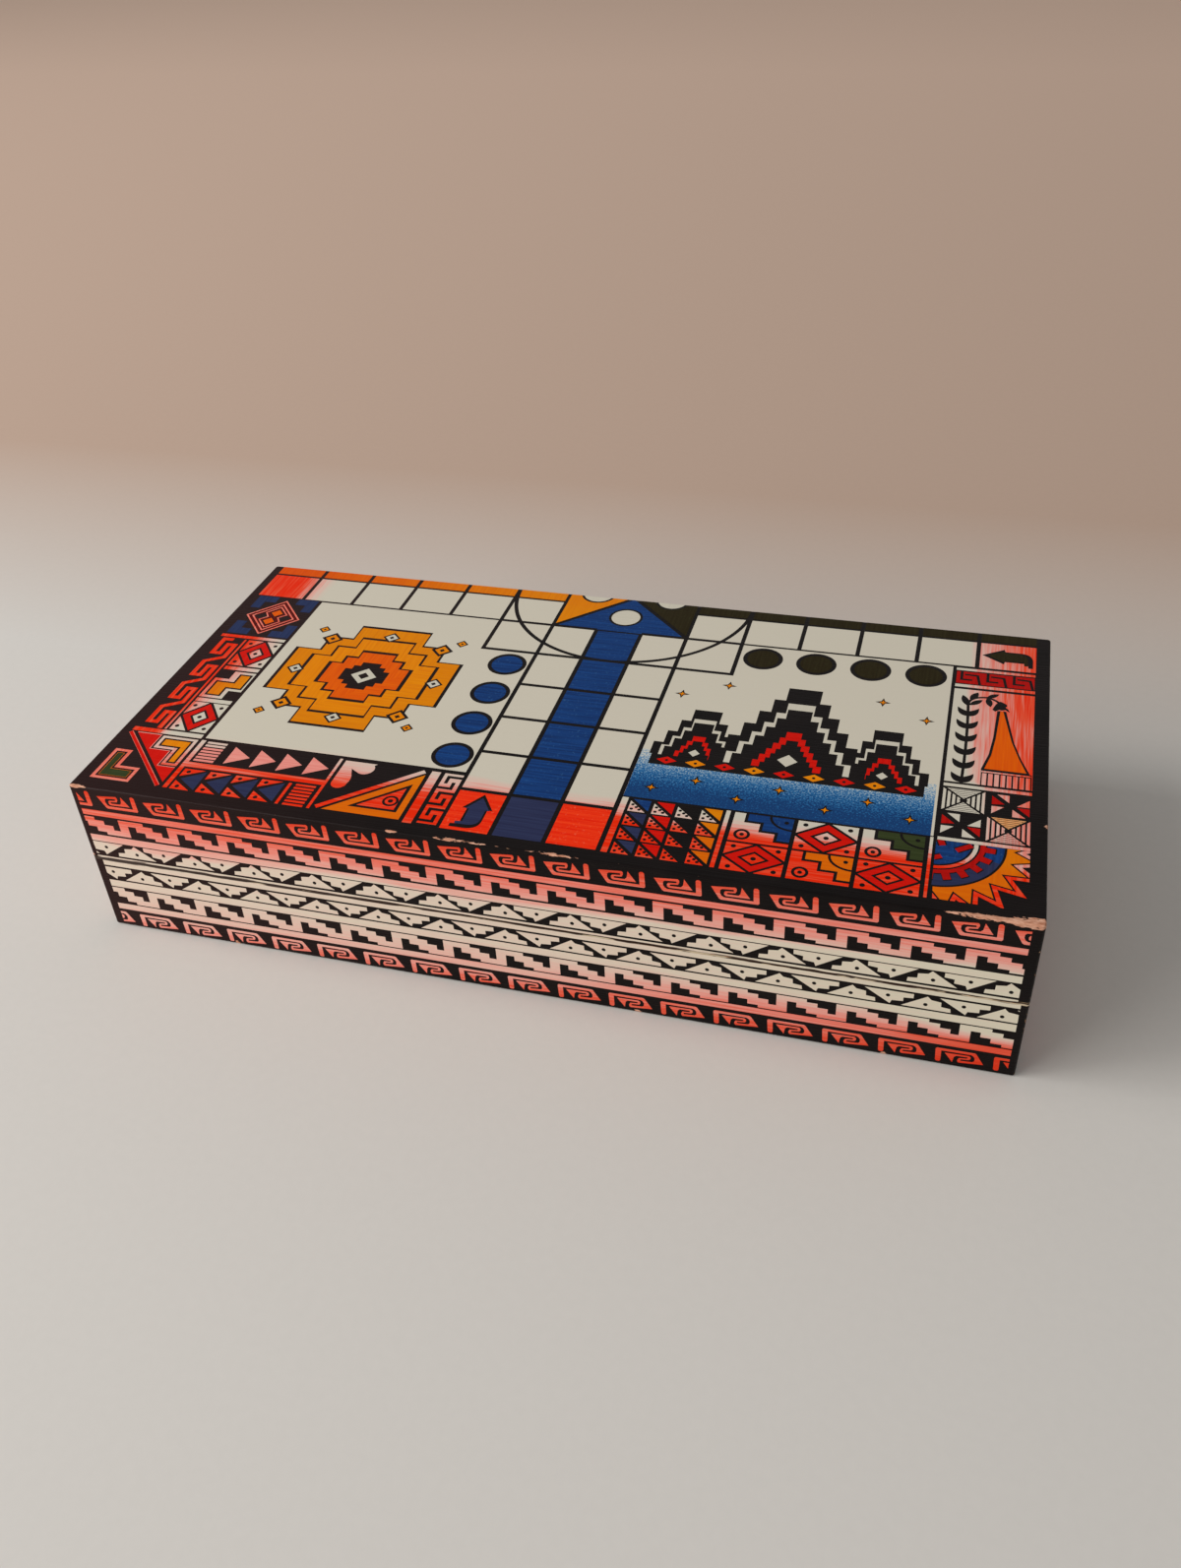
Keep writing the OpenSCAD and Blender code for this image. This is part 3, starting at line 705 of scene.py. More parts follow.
def add(kind, *inputs, tree=None, stops=(), **settings):
    """Adds one shader node, such as "Bump" or "Math.ADD", beside the outputs that feed it, and returns its
    output in use. Plain inputs fill the open sockets in order, and a capital letter marks a socket's name
    among the settings. Stops fill a ramp, each with a place and a hex colour or a level."""
    kind, _, variant = kind.partition(".")
    feeding = [value for value in (*inputs, *settings.values()) if isinstance(value, bpy.types.NodeSocket)]
    made = (tree or feeding[0].id_data).nodes.new("ShaderNode" + kind)
    if variant:
        setattr(made, "data_type" if kind == "Mix" else "operation", variant)
    for number, (place, colour) in enumerate(stops):
        ramp = made.color_ramp.elements
        element = ramp[number] if number < 2 else ramp.new(place)
        element.position = place
        element.color = linear(colour) if isinstance(colour, str) else (colour, colour, colour, 1)
    for name, value in settings.items():
        if name[0].islower():
            setattr(made, name, value)
        else:
            fill(made.inputs[name], value)
    for socket, value in zip([socket for socket in made.inputs if socket.enabled], inputs):
        fill(socket, value)
    return next((socket for socket in made.outputs if socket.enabled), None)


def finished(name, look, *details):
    """A new material. Its Principled surface takes what look(at, *details) gives for its inputs, where at
    holds the object coordinates in millimetres, so that every pattern's scale is one over its real size."""
    material = bpy.data.materials.new(name)
    material.use_nodes = True
    tree = material.node_tree
    tree.nodes.clear()
    surface = add("BsdfPrincipled", tree=tree)
    add("OutputMaterial", Surface=surface)
    where = add("TexCoord", tree=tree).node.outputs["Object"]
    at = add("VectorMath.MULTIPLY", where, (1000, 1000, 1000))
    for socket, value in look(at, *details).items():
        fill(surface.node.inputs[socket], value)
    return material


def lumps(at, size, detail=2.0, low=0.0, high=1.0):
    """Cloudy noise with lumps of one size, or of three along X, Y and Z, in millimetres. Its usual spread,
    0.3 to 0.7, is carried to the range from low to high."""
    scaled = add("VectorMath.MULTIPLY", at, (1 / np.broadcast_to(size, 3)).tolist())
    cloud = add("TexNoise", Vector=scaled, Scale=1.0, Detail=detail, Roughness=0.55)
    return add("MapRange", cloud, 0.3, 0.7, low, high)


def outer_room(at):
    """Distances inside the box's outer faces, in millimetres: the least, and the second least, which is near
    0 along an edge of the box. The second least of three is max(min(x, y), min(max(x, y), z))."""
    middle = add("VectorMath.SUBTRACT", at, (0, 0, HEIGHT / 2))
    folded = add("VectorMath.ABSOLUTE", middle)
    inside = add("VectorMath.SUBTRACT", (LENGTH / 2, DEPTH / 2, HEIGHT / 2), folded)
    x, y, z = add("SeparateXYZ", inside).node.outputs[:3]
    low = add("Math.MINIMUM", x, y)
    other = add("Math.MINIMUM", add("Math.MAXIMUM", x, y), z)
    return add("Math.MINIMUM", low, z), add("Math.MAXIMUM", low, other)


# Reach of the chips along the near top edge, by the share of the length from the left end; 1 is CHIP_REACH
NEAR_EDGE_CHIPS = ((0.0, 0.5), (0.03, 0.0), (0.017, 0.35), (0.362, 0.0), (0.368, 0.3), (0.374, 0.3),
                   (0.382, 0.0), (0.412, 0.1), (0.43, 0.35), (0.5, 0.08), (0.545, 0.35), (0.58, 0.02),
                   (0.9, 0.02), (0.925, 0.35), (0.945, 0.55), (0.965, 0.5), (0.985, 1.0))
CHIP_REACH = 3.2
# Knocked places: middle and radius in millimetres
KNOCKS = (((149.9, -32.0, 60.0), 1.4), ((-103.0, -75.0, 0.0), 1.5), ((36.0, -75.0, 0.0), 1.6),
          ((112.0, -75.0, 0.0), 1.2), ((-150.0, -75.0, 31.0), 1.0))


def worn_through(at, amount):
    """Where handling has taken the ink off: small chips along the box's edges, knocked spots, and splinters
    along the near top edge, which run nearly twice as far over the top as down the front. A point is bare
    when it lies nearer to an edge than a noisy reach."""
    _, second = outer_room(at)
    reach = add("MapRange", lumps(at, 5.0, 3.0), 0.86, 1.2, 0.0, 1.1 * amount)
    bare = add("Math.SUBTRACT", reach, second)
    x, y, z = add("SeparateXYZ", at).node.outputs[:3]
    along = add("MapRange", x, -LENGTH / 2, LENGTH / 2)
    splinters = lumps(at, (2.6, 0.8, 0.8), 3.0, 0.35 * CHIP_REACH, 1.2 * CHIP_REACH)
    chips = add("Math.MULTIPLY", add("ValToRGB", along, stops=NEAR_EDGE_CHIPS), splinters)
    over = add("Math.ADD", y, DEPTH / 2)
    down = add("Math.SUBTRACT", HEIGHT, z)
    chips = add("Math.SUBTRACT", chips, add("Math.MULTIPLY_ADD", down, 1.8, over))
    bare = add("Math.MAXIMUM", bare, chips)
    ragged = lumps(at, 1.6, 3.0, 0.4, 1.2)
    for place, radius in KNOCKS:
        away = add("Math.MULTIPLY", add("VectorMath.DISTANCE", at, place), -1.0)
        bare = add("Math.MAXIMUM", bare, add("Math.MULTIPLY_ADD", ragged, radius, away))
    return add("MapRange", bare, 0.0, 0.12)


def from_joint(z):
    """Height above or below the joint of the halves, in millimetres."""
    return add("Math.ABSOLUTE", add("Math.SUBTRACT", z, PARTING))


def joint_dirt_and_crack_shade(at):
    """Where the joint of the halves is darkened, 0 to 1: grime and painted shade of the crack between them,
    as a broken line that is wider towards the left end."""
    x, _, z = add("SeparateXYZ", at).node.outputs[:3]
    reach = add("MapRange", lumps(at, (14.0, 14.0, 0.8), 3.0), 0.15, 0.9, 0.75, 0.0)
    reach = add("Math.ADD", reach, add("MapRange", x, -135.0, -70.0, 0.35, 0.0))
    return add("MapRange", add("Math.SUBTRACT", reach, from_joint(z)), -0.1, 0.1)


# Blond cedar has a straight, fine grain, and looks pinker where a chip has freshly bared it
BARE_WOOD = ((0.0, "#B07C58"), (1.0, "#D9B08A"), (0.4, "#C28E68"), (0.7, "#CEA079"))
CHIPPED_WOOD = ((0.0, "#AE7358"), (1.0, "#E0B299"), (0.55, "#CF9A80"))
# Grime packed into the joint, together with painted shade of the crack between the halves: a dull dark brown
GRIME_AND_CRACK_SHADE = "#34231A"
# Paint that ran over the rims of the joint and yellowed under handling
RIM_PAINT = ((0.0, "#6E5840"), (1.0, "#CFC0A6"), (0.3, "#9A8264"), (0.6, "#C2AE90"))
# How strongly the satin varnish mirrors the room, over the black ground and over the coloured inks
GROUND_SPECULAR = 0.1
INK_SPECULAR = 0.05


def chipped(at, wear, colour):
    """A colour with freshly bared, torn wood where it is worn through; also returns where that is."""
    bare = worn_through(at, wear)
    torn = add("ValToRGB", lumps(at, (2.2, 0.7, 0.7), 3.0), stops=CHIPPED_WOOD)
    return add("Mix.RGBA", bare, colour, torn), bare


def varnish(at, roughness):
    """Roughness of the hand-laid satin varnish, which wavers about its setting."""
    return lumps(at, 25.0, 3.0, roughness - 0.04, roughness + 0.06)


def printed_wood(at, along, wear, roughness):
    """Planed blond cedar inside, and black screen ink under satin varnish on the outer skin. To the eye the
    wood is a warm tan with growth rings as long soft streaks and fine pores, and the ink a deep, slightly
    warm black with pale dust and broad dull highlights. Chips bare the wood at the edges, and the rims keep
    smears of old paint and a line of grime and painted shade of the crack along the joint."""
    rings, pores = (((60.0, 3.2, 3.2), (14.0, 0.45, 0.45)) if along == "x" else
                    ((3.2, 60.0, 3.2), (0.45, 14.0, 0.45)))
    rings, pores = lumps(at, rings, 3.0, 0.1, 0.75), lumps(at, pores)
    wood = add("ValToRGB", add("Math.MULTIPLY_ADD", pores, 0.3, rings), stops=BARE_WOOD)
    least, _ = outer_room(at)
    ragged = lumps(at, (3.0, 3.0, 1.5), 3.0, 0.15, 0.85)
    inked = add("MapRange", add("Math.SUBTRACT", ragged, least), 0.0, 0.08)
    black = add("ValToRGB", lumps(at, 18.0, 3.0), stops=((0.0, "#0B0707"), (1.0, "#140E0E")))
    x, _, z = add("SeparateXYZ", at).node.outputs[:3]
    warm = add("MapRange", x, -150.0, -30.0, 0.85, 0.0)
    black = add("Mix.RGBA", warm, black, linear("#2A1312"))
    dust = add("MapRange", lumps(at, 0.55, 1.0), 1.06, 1.2, 0.0, 0.45)
    black = add("Mix.RGBA", dust, black, linear("#6A5F58"))
    kept = add("MapRange", lumps(at, (9.0, 9.0, 0.6), 3.0), 0.15, 0.6, 0.25, 0.75)
    rim = add("MapRange", add("Math.SUBTRACT", kept, from_joint(z)), 0.0, 0.1)
    paint = add("ValToRGB", lumps(at, (14.0, 14.0, 0.8), 3.0), stops=RIM_PAINT)
    outside, bare = chipped(at, wear, add("Mix.RGBA", rim, black, paint))
    colour = add("Mix.RGBA", inked, wood, outside)
    # Grime and painted shade of the crack along the joint, kept to the outer skin
    dirt_and_crack_shade = add("Math.MULTIPLY", joint_dirt_and_crack_shade(at), add("MapRange", least, 1.2, 0.9))
    shine = add("Mix", bare, add("Mix", inked, 0.62, varnish(at, roughness)), 0.8)
    relief = add("Math.MULTIPLY_ADD", bare, -1.5, pores)
    return {"Base Color": add("Mix.RGBA", dirt_and_crack_shade, colour, linear(GRIME_AND_CRACK_SHADE)), "Roughness": shine,
            "Specular IOR Level": GROUND_SPECULAR,
            "Normal": add("Bump", Strength=0.25, Distance=0.0002, Height=relief)}


def brush_streaks(at):
    """Brush marks from 0 to 1, about 0.8 mm wide and 22 mm long, that follow the nearest edge of the board:
    along Y near the ends and along X elsewhere."""
    x, y, _ = add("SeparateXYZ", at).node.outputs[:3]
    end = add("Math.SUBTRACT", LENGTH / 2, add("Math.ABSOLUTE", x))
    nearer_end = add("Math.LESS_THAN", end, add("Math.ADD", y, DEPTH / 2))
    return add("Mix", nearer_end, lumps(at, (22.0, 0.8, 0.8)), lumps(at, (0.8, 22.0, 0.8)))


# How far from the left end its red fades to white, and how far it is full: pairs of the share of the depth
# from the opening side and a distance in units of 100 mm
LEFT_WHITE_FROM = ((0.22, 0.18), (0.9, 0.3), (0.3, 0.22), (0.36, 0.25), (0.5, 0.3), (0.64, 0.285))
LEFT_RED_TO = ((0.22, 0.135), (0.87, 0.165), (0.33, 0.145), (0.43, 0.15), (0.52, 0.165), (0.64, 0.17))


def red_share(at):
    """How far the board's wash has turned from white to red, 0 to 1: towards the opening side and both ends.
    The left end's red is wider near the hinge side, and the right end's is weaker near the opening side."""
    x, y, z = add("SeparateXYZ", at).node.outputs[:3]
    face = add("MapRange", z, PARTING - 1, PARTING + 1, -1.0, 1.0)
    v = add("Math.ADD", y, DEPTH / 2)
    wander = lumps(at, 30.0, 2.0, -1.0, 1.0)
    u = add("Math.ADD", add("Math.MULTIPLY_ADD", x, face, LENGTH / 2), wander)
    pale = add("MapRange", u, 90.0, 200.0, 34.0, 28.5)
    full = add("MapRange", u, 30.0, 110.0, 14.0, 19.5)
    front = add("MapRange", add("Math.ADD", v, wander), pale, full)
    share = add("Math.DIVIDE", v, DEPTH)
    pale, full = (add("ValToRGB", share, stops=stops) for stops in (LEFT_WHITE_FROM, LEFT_RED_TO))
    left = add("MapRange", add("Math.DIVIDE", u, 100.0), pale, full)
    start = add("MapRange", v, 60.0, 110.0, LENGTH - 23.5, LENGTH - 26.8)
    start = add("Math.ADD", start, add("MapRange", v, 57.0, 61.0, 4.5, 0.0))
    beyond = add("Math.SUBTRACT", u, start)
    quick = add("MapRange", beyond, 0.0, 2.5, 0.0, 0.46)
    slow = add("MapRange", beyond, 2.5, 18.0, 0.0, 0.38)
    right = add("Math.MULTIPLY", add("Math.ADD", quick, slow), add("MapRange", v, 42.0, 50.0, 0.82, 1.0))
    return add("Math.MAXIMUM", front, add("Math.MAXIMUM", left, right))


# The washes' ramps: the two ends come first in each, and then the stops between them
WHITE_TO_VERMILION = ((0.0, "#D2CCBC"), (1.0, "#EC2A02"), (0.28, "#E3BDB0"), (0.55, "#E8968A"),
                      (0.78, "#EE5638"))
CREAM_TO_VERMILION = ((0.0, "#DAD3BE"), (0.97, "#E03A1E"), (0.07, "#DECBBA"), (0.26, "#E6B8AA"),
                      (0.5, "#EC978A"), (0.74, "#EA6048"))
WHITE_TO_BLUE = ((0.1, "#CCCDC4"), (1.0, "#163E72"), (0.35, "#86A6BE"), (0.62, "#2E6EA4"), (0.85, "#1E5A92"))


def board_wash(at):
    """White that turns through pink to streaked vermilion towards the ends and the opening side."""
    red = red_share(at)
    streaks = add("MapRange", brush_streaks(at), 0.0, 1.0, -0.24, 0.16)
    red = add("Math.MULTIPLY_ADD", streaks, add("MapRange", red, 0.0, 0.35), red)
    return add("ValToRGB", red, stops=WHITE_TO_VERMILION)


def orange_wash(at):
    """Brushed orange, as yellow as marigold on white ground and redder where it covers the red of the wash
    and towards the left end of the home lane."""
    marigold = brushed_ink(at, linear("#DC7C00"), linear("#E68A00"))
    vermilion = brushed_ink(at, linear("#DA4600"), linear("#E45400"))
    covered = add("Math.MULTIPLY", red_share(at), 0.55)
    x, y, _ = add("SeparateXYZ", at).node.outputs[:3]
    leftward = add("MapRange", x, -140.0, -35.0, 0.95, 0.08)
    lane = add("Math.MULTIPLY", leftward, add("MapRange", y, 65.0, 67.0))
    return add("Mix.RGBA", add("Math.MAXIMUM", covered, lane), marigold, vermilion)


# The wash of the sides at its left and right ends, as x, x, value and value, above and below the joint:
# where its red starts and where it is full, in millimetres from the joint, and how deep it gets
SIDE_RED = (((-110.0, 140.0, 5.5, 10.0), (110.0, 142.0, 10.5, 14.2)),
            ((-110.0, 140.0, 17.0, 17.5), (0.0, 60.0, 28.0, 18.5)),
            ((-110.0, 140.0, 0.52, 0.4), (-130.0, 70.0, 0.3, 0.62)))


def side_wash(at):
    """Cream at the parting line, through pink to vermilion towards the top and bottom edges, streaked
    lengthwise. Above the joint the pink comes on quickly and then levels off; below it the wash stays pale
    at the left and ends in a deep red splash at the right."""
    x, _, z = add("SeparateXYZ", at).node.outputs[:3]
    height = add("Math.SUBTRACT", z, PARTING)
    away = add("Math.ABSOLUTE", height)
    lid = add("Math.GREATER_THAN", height, 0.0)
    start, full, deepest = (add("Mix", lid, add("MapRange", x, *below), add("MapRange", x, *above))
                            for above, below in SIDE_RED)
    splash = add("Mix", lid, add("MapRange", x, 95.0, 142.0, 0.0, 0.26), 0.0)
    deepest = add("Math.ADD", deepest, splash)
    start = add("Math.ADD", start, lumps(at, 45.0, 2.0, -1.6, 1.6))
    start = add("Math.ADD", start, add("MapRange", x, -150.0, -126.0, 3.0, 0.0))
    red = add("MapRange", away, start, full, 0.06, deepest)
    quick = add("MapRange", away, start, add("Math.ADD", start, 1.8), 0.0, 0.18)
    red = add("Math.MULTIPLY_ADD", quick, lid, red)
    red = add("Math.ADD", red, add("MapRange", away, 21.5, 28.0, 0.0, 0.24))
    streaks = lumps(at, (26.0, 26.0, 0.5), 3.0, -0.13, 0.13)
    red = add("Math.MULTIPLY_ADD", streaks, add("MapRange", red, 0.05, 0.35, 0.25, 1.0), red)
    red = add("Math.ADD", red, add("MapRange", x, 20.0, 140.0, 0.0, -0.06))
    wash = add("ValToRGB", red, stops=CREAM_TO_VERMILION)
    # Towards the joint the wash turns to grime and painted shade of the crack between the halves
    return add("Mix.RGBA", add("Math.MULTIPLY", joint_dirt_and_crack_shade(at), 0.85), wash, linear(GRIME_AND_CRACK_SHADE))


def sky_wash(at):
    """Blue sprayed in dots of about half a millimetre over white, thicker towards the opening side."""
    _, y, _ = add("SeparateXYZ", at).node.outputs[:3]
    thick = add("MapRange", add("Math.ADD", y, DEPTH / 2), 58.0, 36.0, 0.05, 1.12)
    blue = add("Math.ADD", lumps(at, 0.55, 1.0, -0.32, 0.32), thick)
    return add("ValToRGB", blue, stops=WHITE_TO_BLUE)


def brushed_ink(at, dark, light, speck=None):
    """One ink laid on by brush: darker and lighter marks, and pale specks where it lies thin."""
    colour = add("Mix.RGBA", brush_streaks(at), dark, light)
    if not speck:
        return colour
    thin = add("MapRange", lumps(at, (0.7, 1.1, 0.7)), 0.8, 1.1, 0.0, 0.55)
    return add("Mix.RGBA", thin, colour, speck)


# Each ink: its finish's name, then either a wash or the colours of its brush marks in the order of TONES. A
# screen ink is matt and opaque, so it gives one flat, full colour; the brushed ones also show lighter and
# darker strokes.
TONES = ("dark", "light", "speck")
INKS = {
    "wash": ("white_to_vermilion_wash", board_wash),
    "side_wash": ("cream_to_vermilion_wash", side_wash),
    "sky": ("sprayed_blue_wash", sky_wash),
    "red_brushed": ("brushed_vermilion_ink", ("#EA1C00", "#FA4218", "#F47C58")),
    "rose": ("brushed_rose_ink", ("#E8847A", "#F2A296")),
    "crimson": ("crimson_screen_ink", ("#CC0C00", "#DA180A")),
    "deep_crimson": ("deep_crimson_screen_ink", ("#A80602", "#BC120C")),
    "maroon": ("maroon_screen_ink", ("#4A0A08", "#6A0E0A")),
    "apricot": ("pale_orange_screen_ink", ("#E49A5C", "#EEB078")),
    "salmon": ("brushed_salmon_ink", ("#EC6450", "#F29080")),
    "orange": ("brushed_orange_ink", orange_wash),
    "amber": ("amber_screen_ink", ("#E27C00", "#EC9000")),
    "flame": ("brushed_red_orange_ink", ("#E05200", "#EA6600")),
    "blue": ("stippled_blue_ink", ("#102E62", "#174484", "#3A6A9A")),
    "slate": ("slate_blue_screen_ink", ("#222C50", "#2C3A62")),
    "navy": ("navy_screen_ink", ("#282C4C", "#30385A")),
    "green": ("dark_green_screen_ink", ("#241C08", "#2E2812", "#383C22")),
    "olive": ("olive_screen_ink", ("#2E381A", "#3A4426")),
    "white": ("white_screen_ink", ("#CCC7B7", "#D2CDBD")),
}


def ink_finish(at, colours, wear, roughness):
    """A thin opaque ink under satin varnish: a full colour with a dull sheen, in which the wood's grain
    shows faintly as long ridges. It is worn through to the wood along the box's edges."""
    colour = colours(at) if callable(colours) else brushed_ink(at, *colours)
    colour, _ = chipped(at, wear, colour)
    grain = lumps(at, (16.0, 0.9, 0.9))
    return {"Base Color": colour, "Roughness": varnish(at, roughness), "Specular IOR Level": INK_SPECULAR,
            "Normal": add("Bump", Strength=0.12, Distance=0.0001, Height=grain)}


def metal_finish(at, clean, tarnished, roughness, lump=2.0):
    """A rolled, drawn, turned or plated metal that has been handled: it is bright where it is rubbed,
    browner and duller in the lumps of its tarnish, and fine working marks along X break up its
    highlights."""
    tarnish = lumps(at, lump, 4.0)
    marks = lumps(at, (6.0, 0.25, 0.25))
    return {"Base Color": add("ValToRGB", tarnish, stops=((0.1, clean), (1.0, tarnished))),
            "Roughness": add("MapRange", tarnish, 0.0, 1.0, roughness, roughness + 0.18), "Metallic": 1.0,
            "Normal": add("Bump", Strength=0.15, Distance=0.00005, Height=marks)}


def enamel_finish(at, colour, rubbed):
    """Gloss enamel in which turned wood was dipped: an even colour under sharp highlights that a soft
    orange-peel bends, with the rims rubbed through to the wood in places."""
    paint = add("Mix.RGBA", lumps(at, 5.0, 3.0, 0.0, 0.4), colour, rubbed)
    _, _, z = add("SeparateXYZ", at).node.outputs[:3]
    flecks = add("MapRange", lumps(at, (1.4, 1.4, 0.8), 3.0), 0.72, 0.85)
    worn = add("Math.MULTIPLY", add("MapRange", z, *COUNTER_RIM), flecks)
    peel = lumps(at, 0.9, 1.0)
    return {"Base Color": add("Mix.RGBA", worn, paint, linear(RUBBED_WOOD)), "Roughness": 0.22,
            "Coat Weight": 0.4, "Coat Roughness": 0.08,
            "Normal": add("Bump", Strength=0.06, Distance=0.0001, Height=peel)}


# Each metal's clean and tarnished colour, roughness and lump of tarnish in millimetres, and what is made of
# it. Brass is a warm yellow that browns where no finger rubs it; nickel plate is a cooler, smoother grey
METALS = (
    ("rolled_brass", ("#C9A558", "#8C6A34", 0.28), ("left_hinge_lower_leaf", "left_hinge_upper_leaf",
                                                    "right_hinge_lower_leaf", "right_hinge_upper_leaf")),
    ("drawn_brass_wire", ("#BF9A50", "#84632F", 0.32), ("left_hinge_pin", "right_hinge_pin")),
    ("turned_brass", ("#CDAA5E", "#94723A", 0.24, 1.2), ("lower_hinge_screws", "upper_hinge_screws")),
    ("nickel_plate", ("#C8C9CB", "#9C9DA0", 0.2, 4.0), ("base_magnets", "lid_magnets")),
)
# Enamel of each set of counters and its lighter rubbed tone, the heights between which their rims wear, in
# millimetres, and the wood that shows there
COUNTER_ENAMELS = {"blue": ("#1D3C78", "#2C4F90"), "orange": ("#D47A10", "#E0922E"),
                   "green": ("#324428", "#445838"), "red": ("#C42C18", "#D2462E")}
COUNTER_RIM = (8.55, 8.95)
RUBBED_WOOD = "#C79C74"
# Width of a die, the share of its half width at which its corners start, and how each one lies, in degrees
DIE_SIZE = 11.0
DIE_CORNER = 0.42
DICE_TURNS = {"die_one": (0, 0, 18), "die_two": (0, 90, -31)}


def die_finish(at, node, turn):
    """Polished ivory plastic with black paint in the pips: a milky white with small crisp highlights. Turned
    back to its own axes, a die's flat faces lie at half its width and its rounded corners on a sphere, so
    what lies inside both is the hollow of a pip."""
    low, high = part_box(node)
    half = DIE_SIZE / 2
    ball = half * (1 + DIE_CORNER)
    centre = tuple((low[i] + high[i]) / 2 / MM for i in range(3))
    own = add("Mapping", at, centre, tuple(math.radians(a) for a in turn), vector_type="TEXTURE")
    x, y, z = add("SeparateXYZ", add("VectorMath.ABSOLUTE", own)).node.outputs[:3]
    face = add("Math.MAXIMUM", add("Math.MAXIMUM", x, y), z)
    sunk = add("MapRange", face, half - 0.02, half - 0.05)
    inside = add("MapRange", add("VectorMath.LENGTH", own), ball - 0.06, ball - 0.12)
    pip = add("Math.MULTIPLY", sunk, inside)
    ivory = add("ValToRGB", lumps(at, 3.0), stops=((0.0, "#E3DAC4"), (1.0, "#EFE8D8")))
    colour = add("Mix.RGBA", pip, ivory, linear("#17151A"))
    return {"Base Color": colour, "Roughness": 0.2, "Coat Weight": 0.3}


def matte_floor(at, near, far):
    """Plain warm grey paper: fibres that scatter the light, so it has no highlight. Behind the box it is
    painted browner and darker, painted shade for paper that would curve up out of the light, and farther off
    it is painted lighter again, up to 1.36 times, as painted light."""
    _, y, _ = add("SeparateXYZ", at).node.outputs[:3]
    # Painted shade: the near colour turns to the browner far one behind the box
    tone = add("Mix.RGBA", add("MapRange", y, 90.0, 300.0), near, far)
    # Painted light: the floor grows lighter farther off
    far_painted_light = add("MapRange", y, 300.0, 1500.0, 1.0, 1.36)
    level = add("Math.MULTIPLY", far_painted_light, lumps(at, 3.0, 2.0, 0.985, 1.0))
    return {"Base Color": add("VectorMath.SCALE", tone, level), "Roughness": 0.95, "Specular IOR Level": 0.1}


# Settings


class LudoPrintSettings(bpy.types.PropertyGroup):
    """Sizes of the printed films and how far they are worn."""

    proud: bpy.props.FloatProperty(
        name="Ink thickness", description="How far the inks stand on the wood", default=0.03 * MM,
        min=0.01 * MM, max=0.1 * MM, unit="LENGTH", precision=6)
    margin: bpy.props.FloatProperty(
        name="Black margin", description="Unprinted margin along the edges of each face", default=0.9 * MM,
        min=0.8 * MM, max=3 * MM, unit="LENGTH", precision=5)
    wear: bpy.props.FloatProperty(
        name="Edge wear", description="Size of the chips along the edges", default=1.0, min=0, max=2,
        subtype="FACTOR")
    roughness: bpy.props.FloatProperty(
        name="Varnish roughness", description="Roughness of the satin varnish over the inks", default=0.36,
        min=0.1, max=0.9, subtype="FACTOR")


class LudoColourSettings(bpy.types.PropertyGroup):
    """The brush marks of every plain ink and the enamel of each set of counters."""

    __annotations__ = {
        f"{ink}_{tone}": bpy.props.FloatVectorProperty(
            name=f"{ink.replace('_', ' ').capitalize()} {tone}",
            description=f"The {tone} brush marks of this ink", size=4, subtype="COLOR", min=0, max=1,
            default=linear(colour))
        for ink, (_, colours) in INKS.items() if not callable(colours) for tone, colour in zip(TONES, colours)
    } | {
        f"{colour}_counter": bpy.props.FloatVectorProperty(
            name=f"{colour.capitalize()} counters", description="Colour of the enamel of this set", size=4,
            subtype="COLOR", min=0, max=1, default=linear(paint))
        for colour, (paint, _) in COUNTER_ENAMELS.items()
    }


class LudoStageSettings(bpy.types.PropertyGroup):
    """The floor, the light and the camera."""

    floor_size: bpy.props.FloatProperty(
        name="Floor size", description="Width of the square floor", default=12.0, min=2, unit="LENGTH")
    floor_colour: bpy.props.FloatVectorProperty(
        name="Floor colour", description="Colour of the floor near the box", size=4, subtype="COLOR", min=0,
        max=1, default=linear("#D3D1CD"))
    # Colour of the floor far behind the box: painted shade, where paper would curve up out of the light
    far_shade_colour: bpy.props.FloatVectorProperty(
        name="Far floor colour", description="Colour of the floor far behind the box", size=4,
        subtype="COLOR", min=0, max=1, default=linear("#C2AA9A"))
    key_power: bpy.props.FloatProperty(
        name="Key light", description="Power of the soft key light on the left", default=46.0, min=0,
        subtype="POWER")
    sky_level: bpy.props.FloatProperty(
        name="Room light", description="Strength of the light from all round", default=0.4, min=0)
    camera_place: bpy.props.FloatVectorProperty(
        name="Camera place", description="Where the camera stands", size=3, subtype="TRANSLATION",
        default=(0.1146, -0.3567, 0.3111))
    camera_azimuth: bpy.props.FloatProperty(
        name="Camera azimuth", description="How far the view is turned to the left of +Y",
        default=math.radians(17.607), subtype="ANGLE")
    camera_drop: bpy.props.FloatProperty(
        name="Camera drop", description="How far the view dips below level", default=math.radians(37.052),
        subtype="ANGLE")
    camera_roll: bpy.props.FloatProperty(
        name="Camera roll", description="How far the camera is rolled", default=math.radians(-3.394),
        subtype="ANGLE")
    focal_length: bpy.props.FloatProperty(
        name="Focal length", description="Focal length on a frame whose long side is 36 mm, in millimetres",
        default=30.82, min=10, max=200)


# Operators


def dress(node, material):
    """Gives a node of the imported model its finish; its mesh stays as it is."""
    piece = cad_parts[node]
    if not piece.material_slots:
        piece.data.materials.append(material)
    for slot in piece.material_slots:
        slot.material = material


def ink_materials(scene):
    """The finish of every ink in its chosen colours, made once and found again by its name."""
    settings, chosen = scene.ludo_print, scene.ludo_colours
    made = {}
    for ink, (name, colours) in INKS.items():
        if not callable(colours):
            colours = [tuple(getattr(chosen, f"{ink}_{tone}")) for tone, _ in zip(TONES, colours)]
        made[ink] = bpy.data.materials.get(name) or finished(name, ink_finish, colours, settings.wear,
                                                             settings.roughness)
    return made


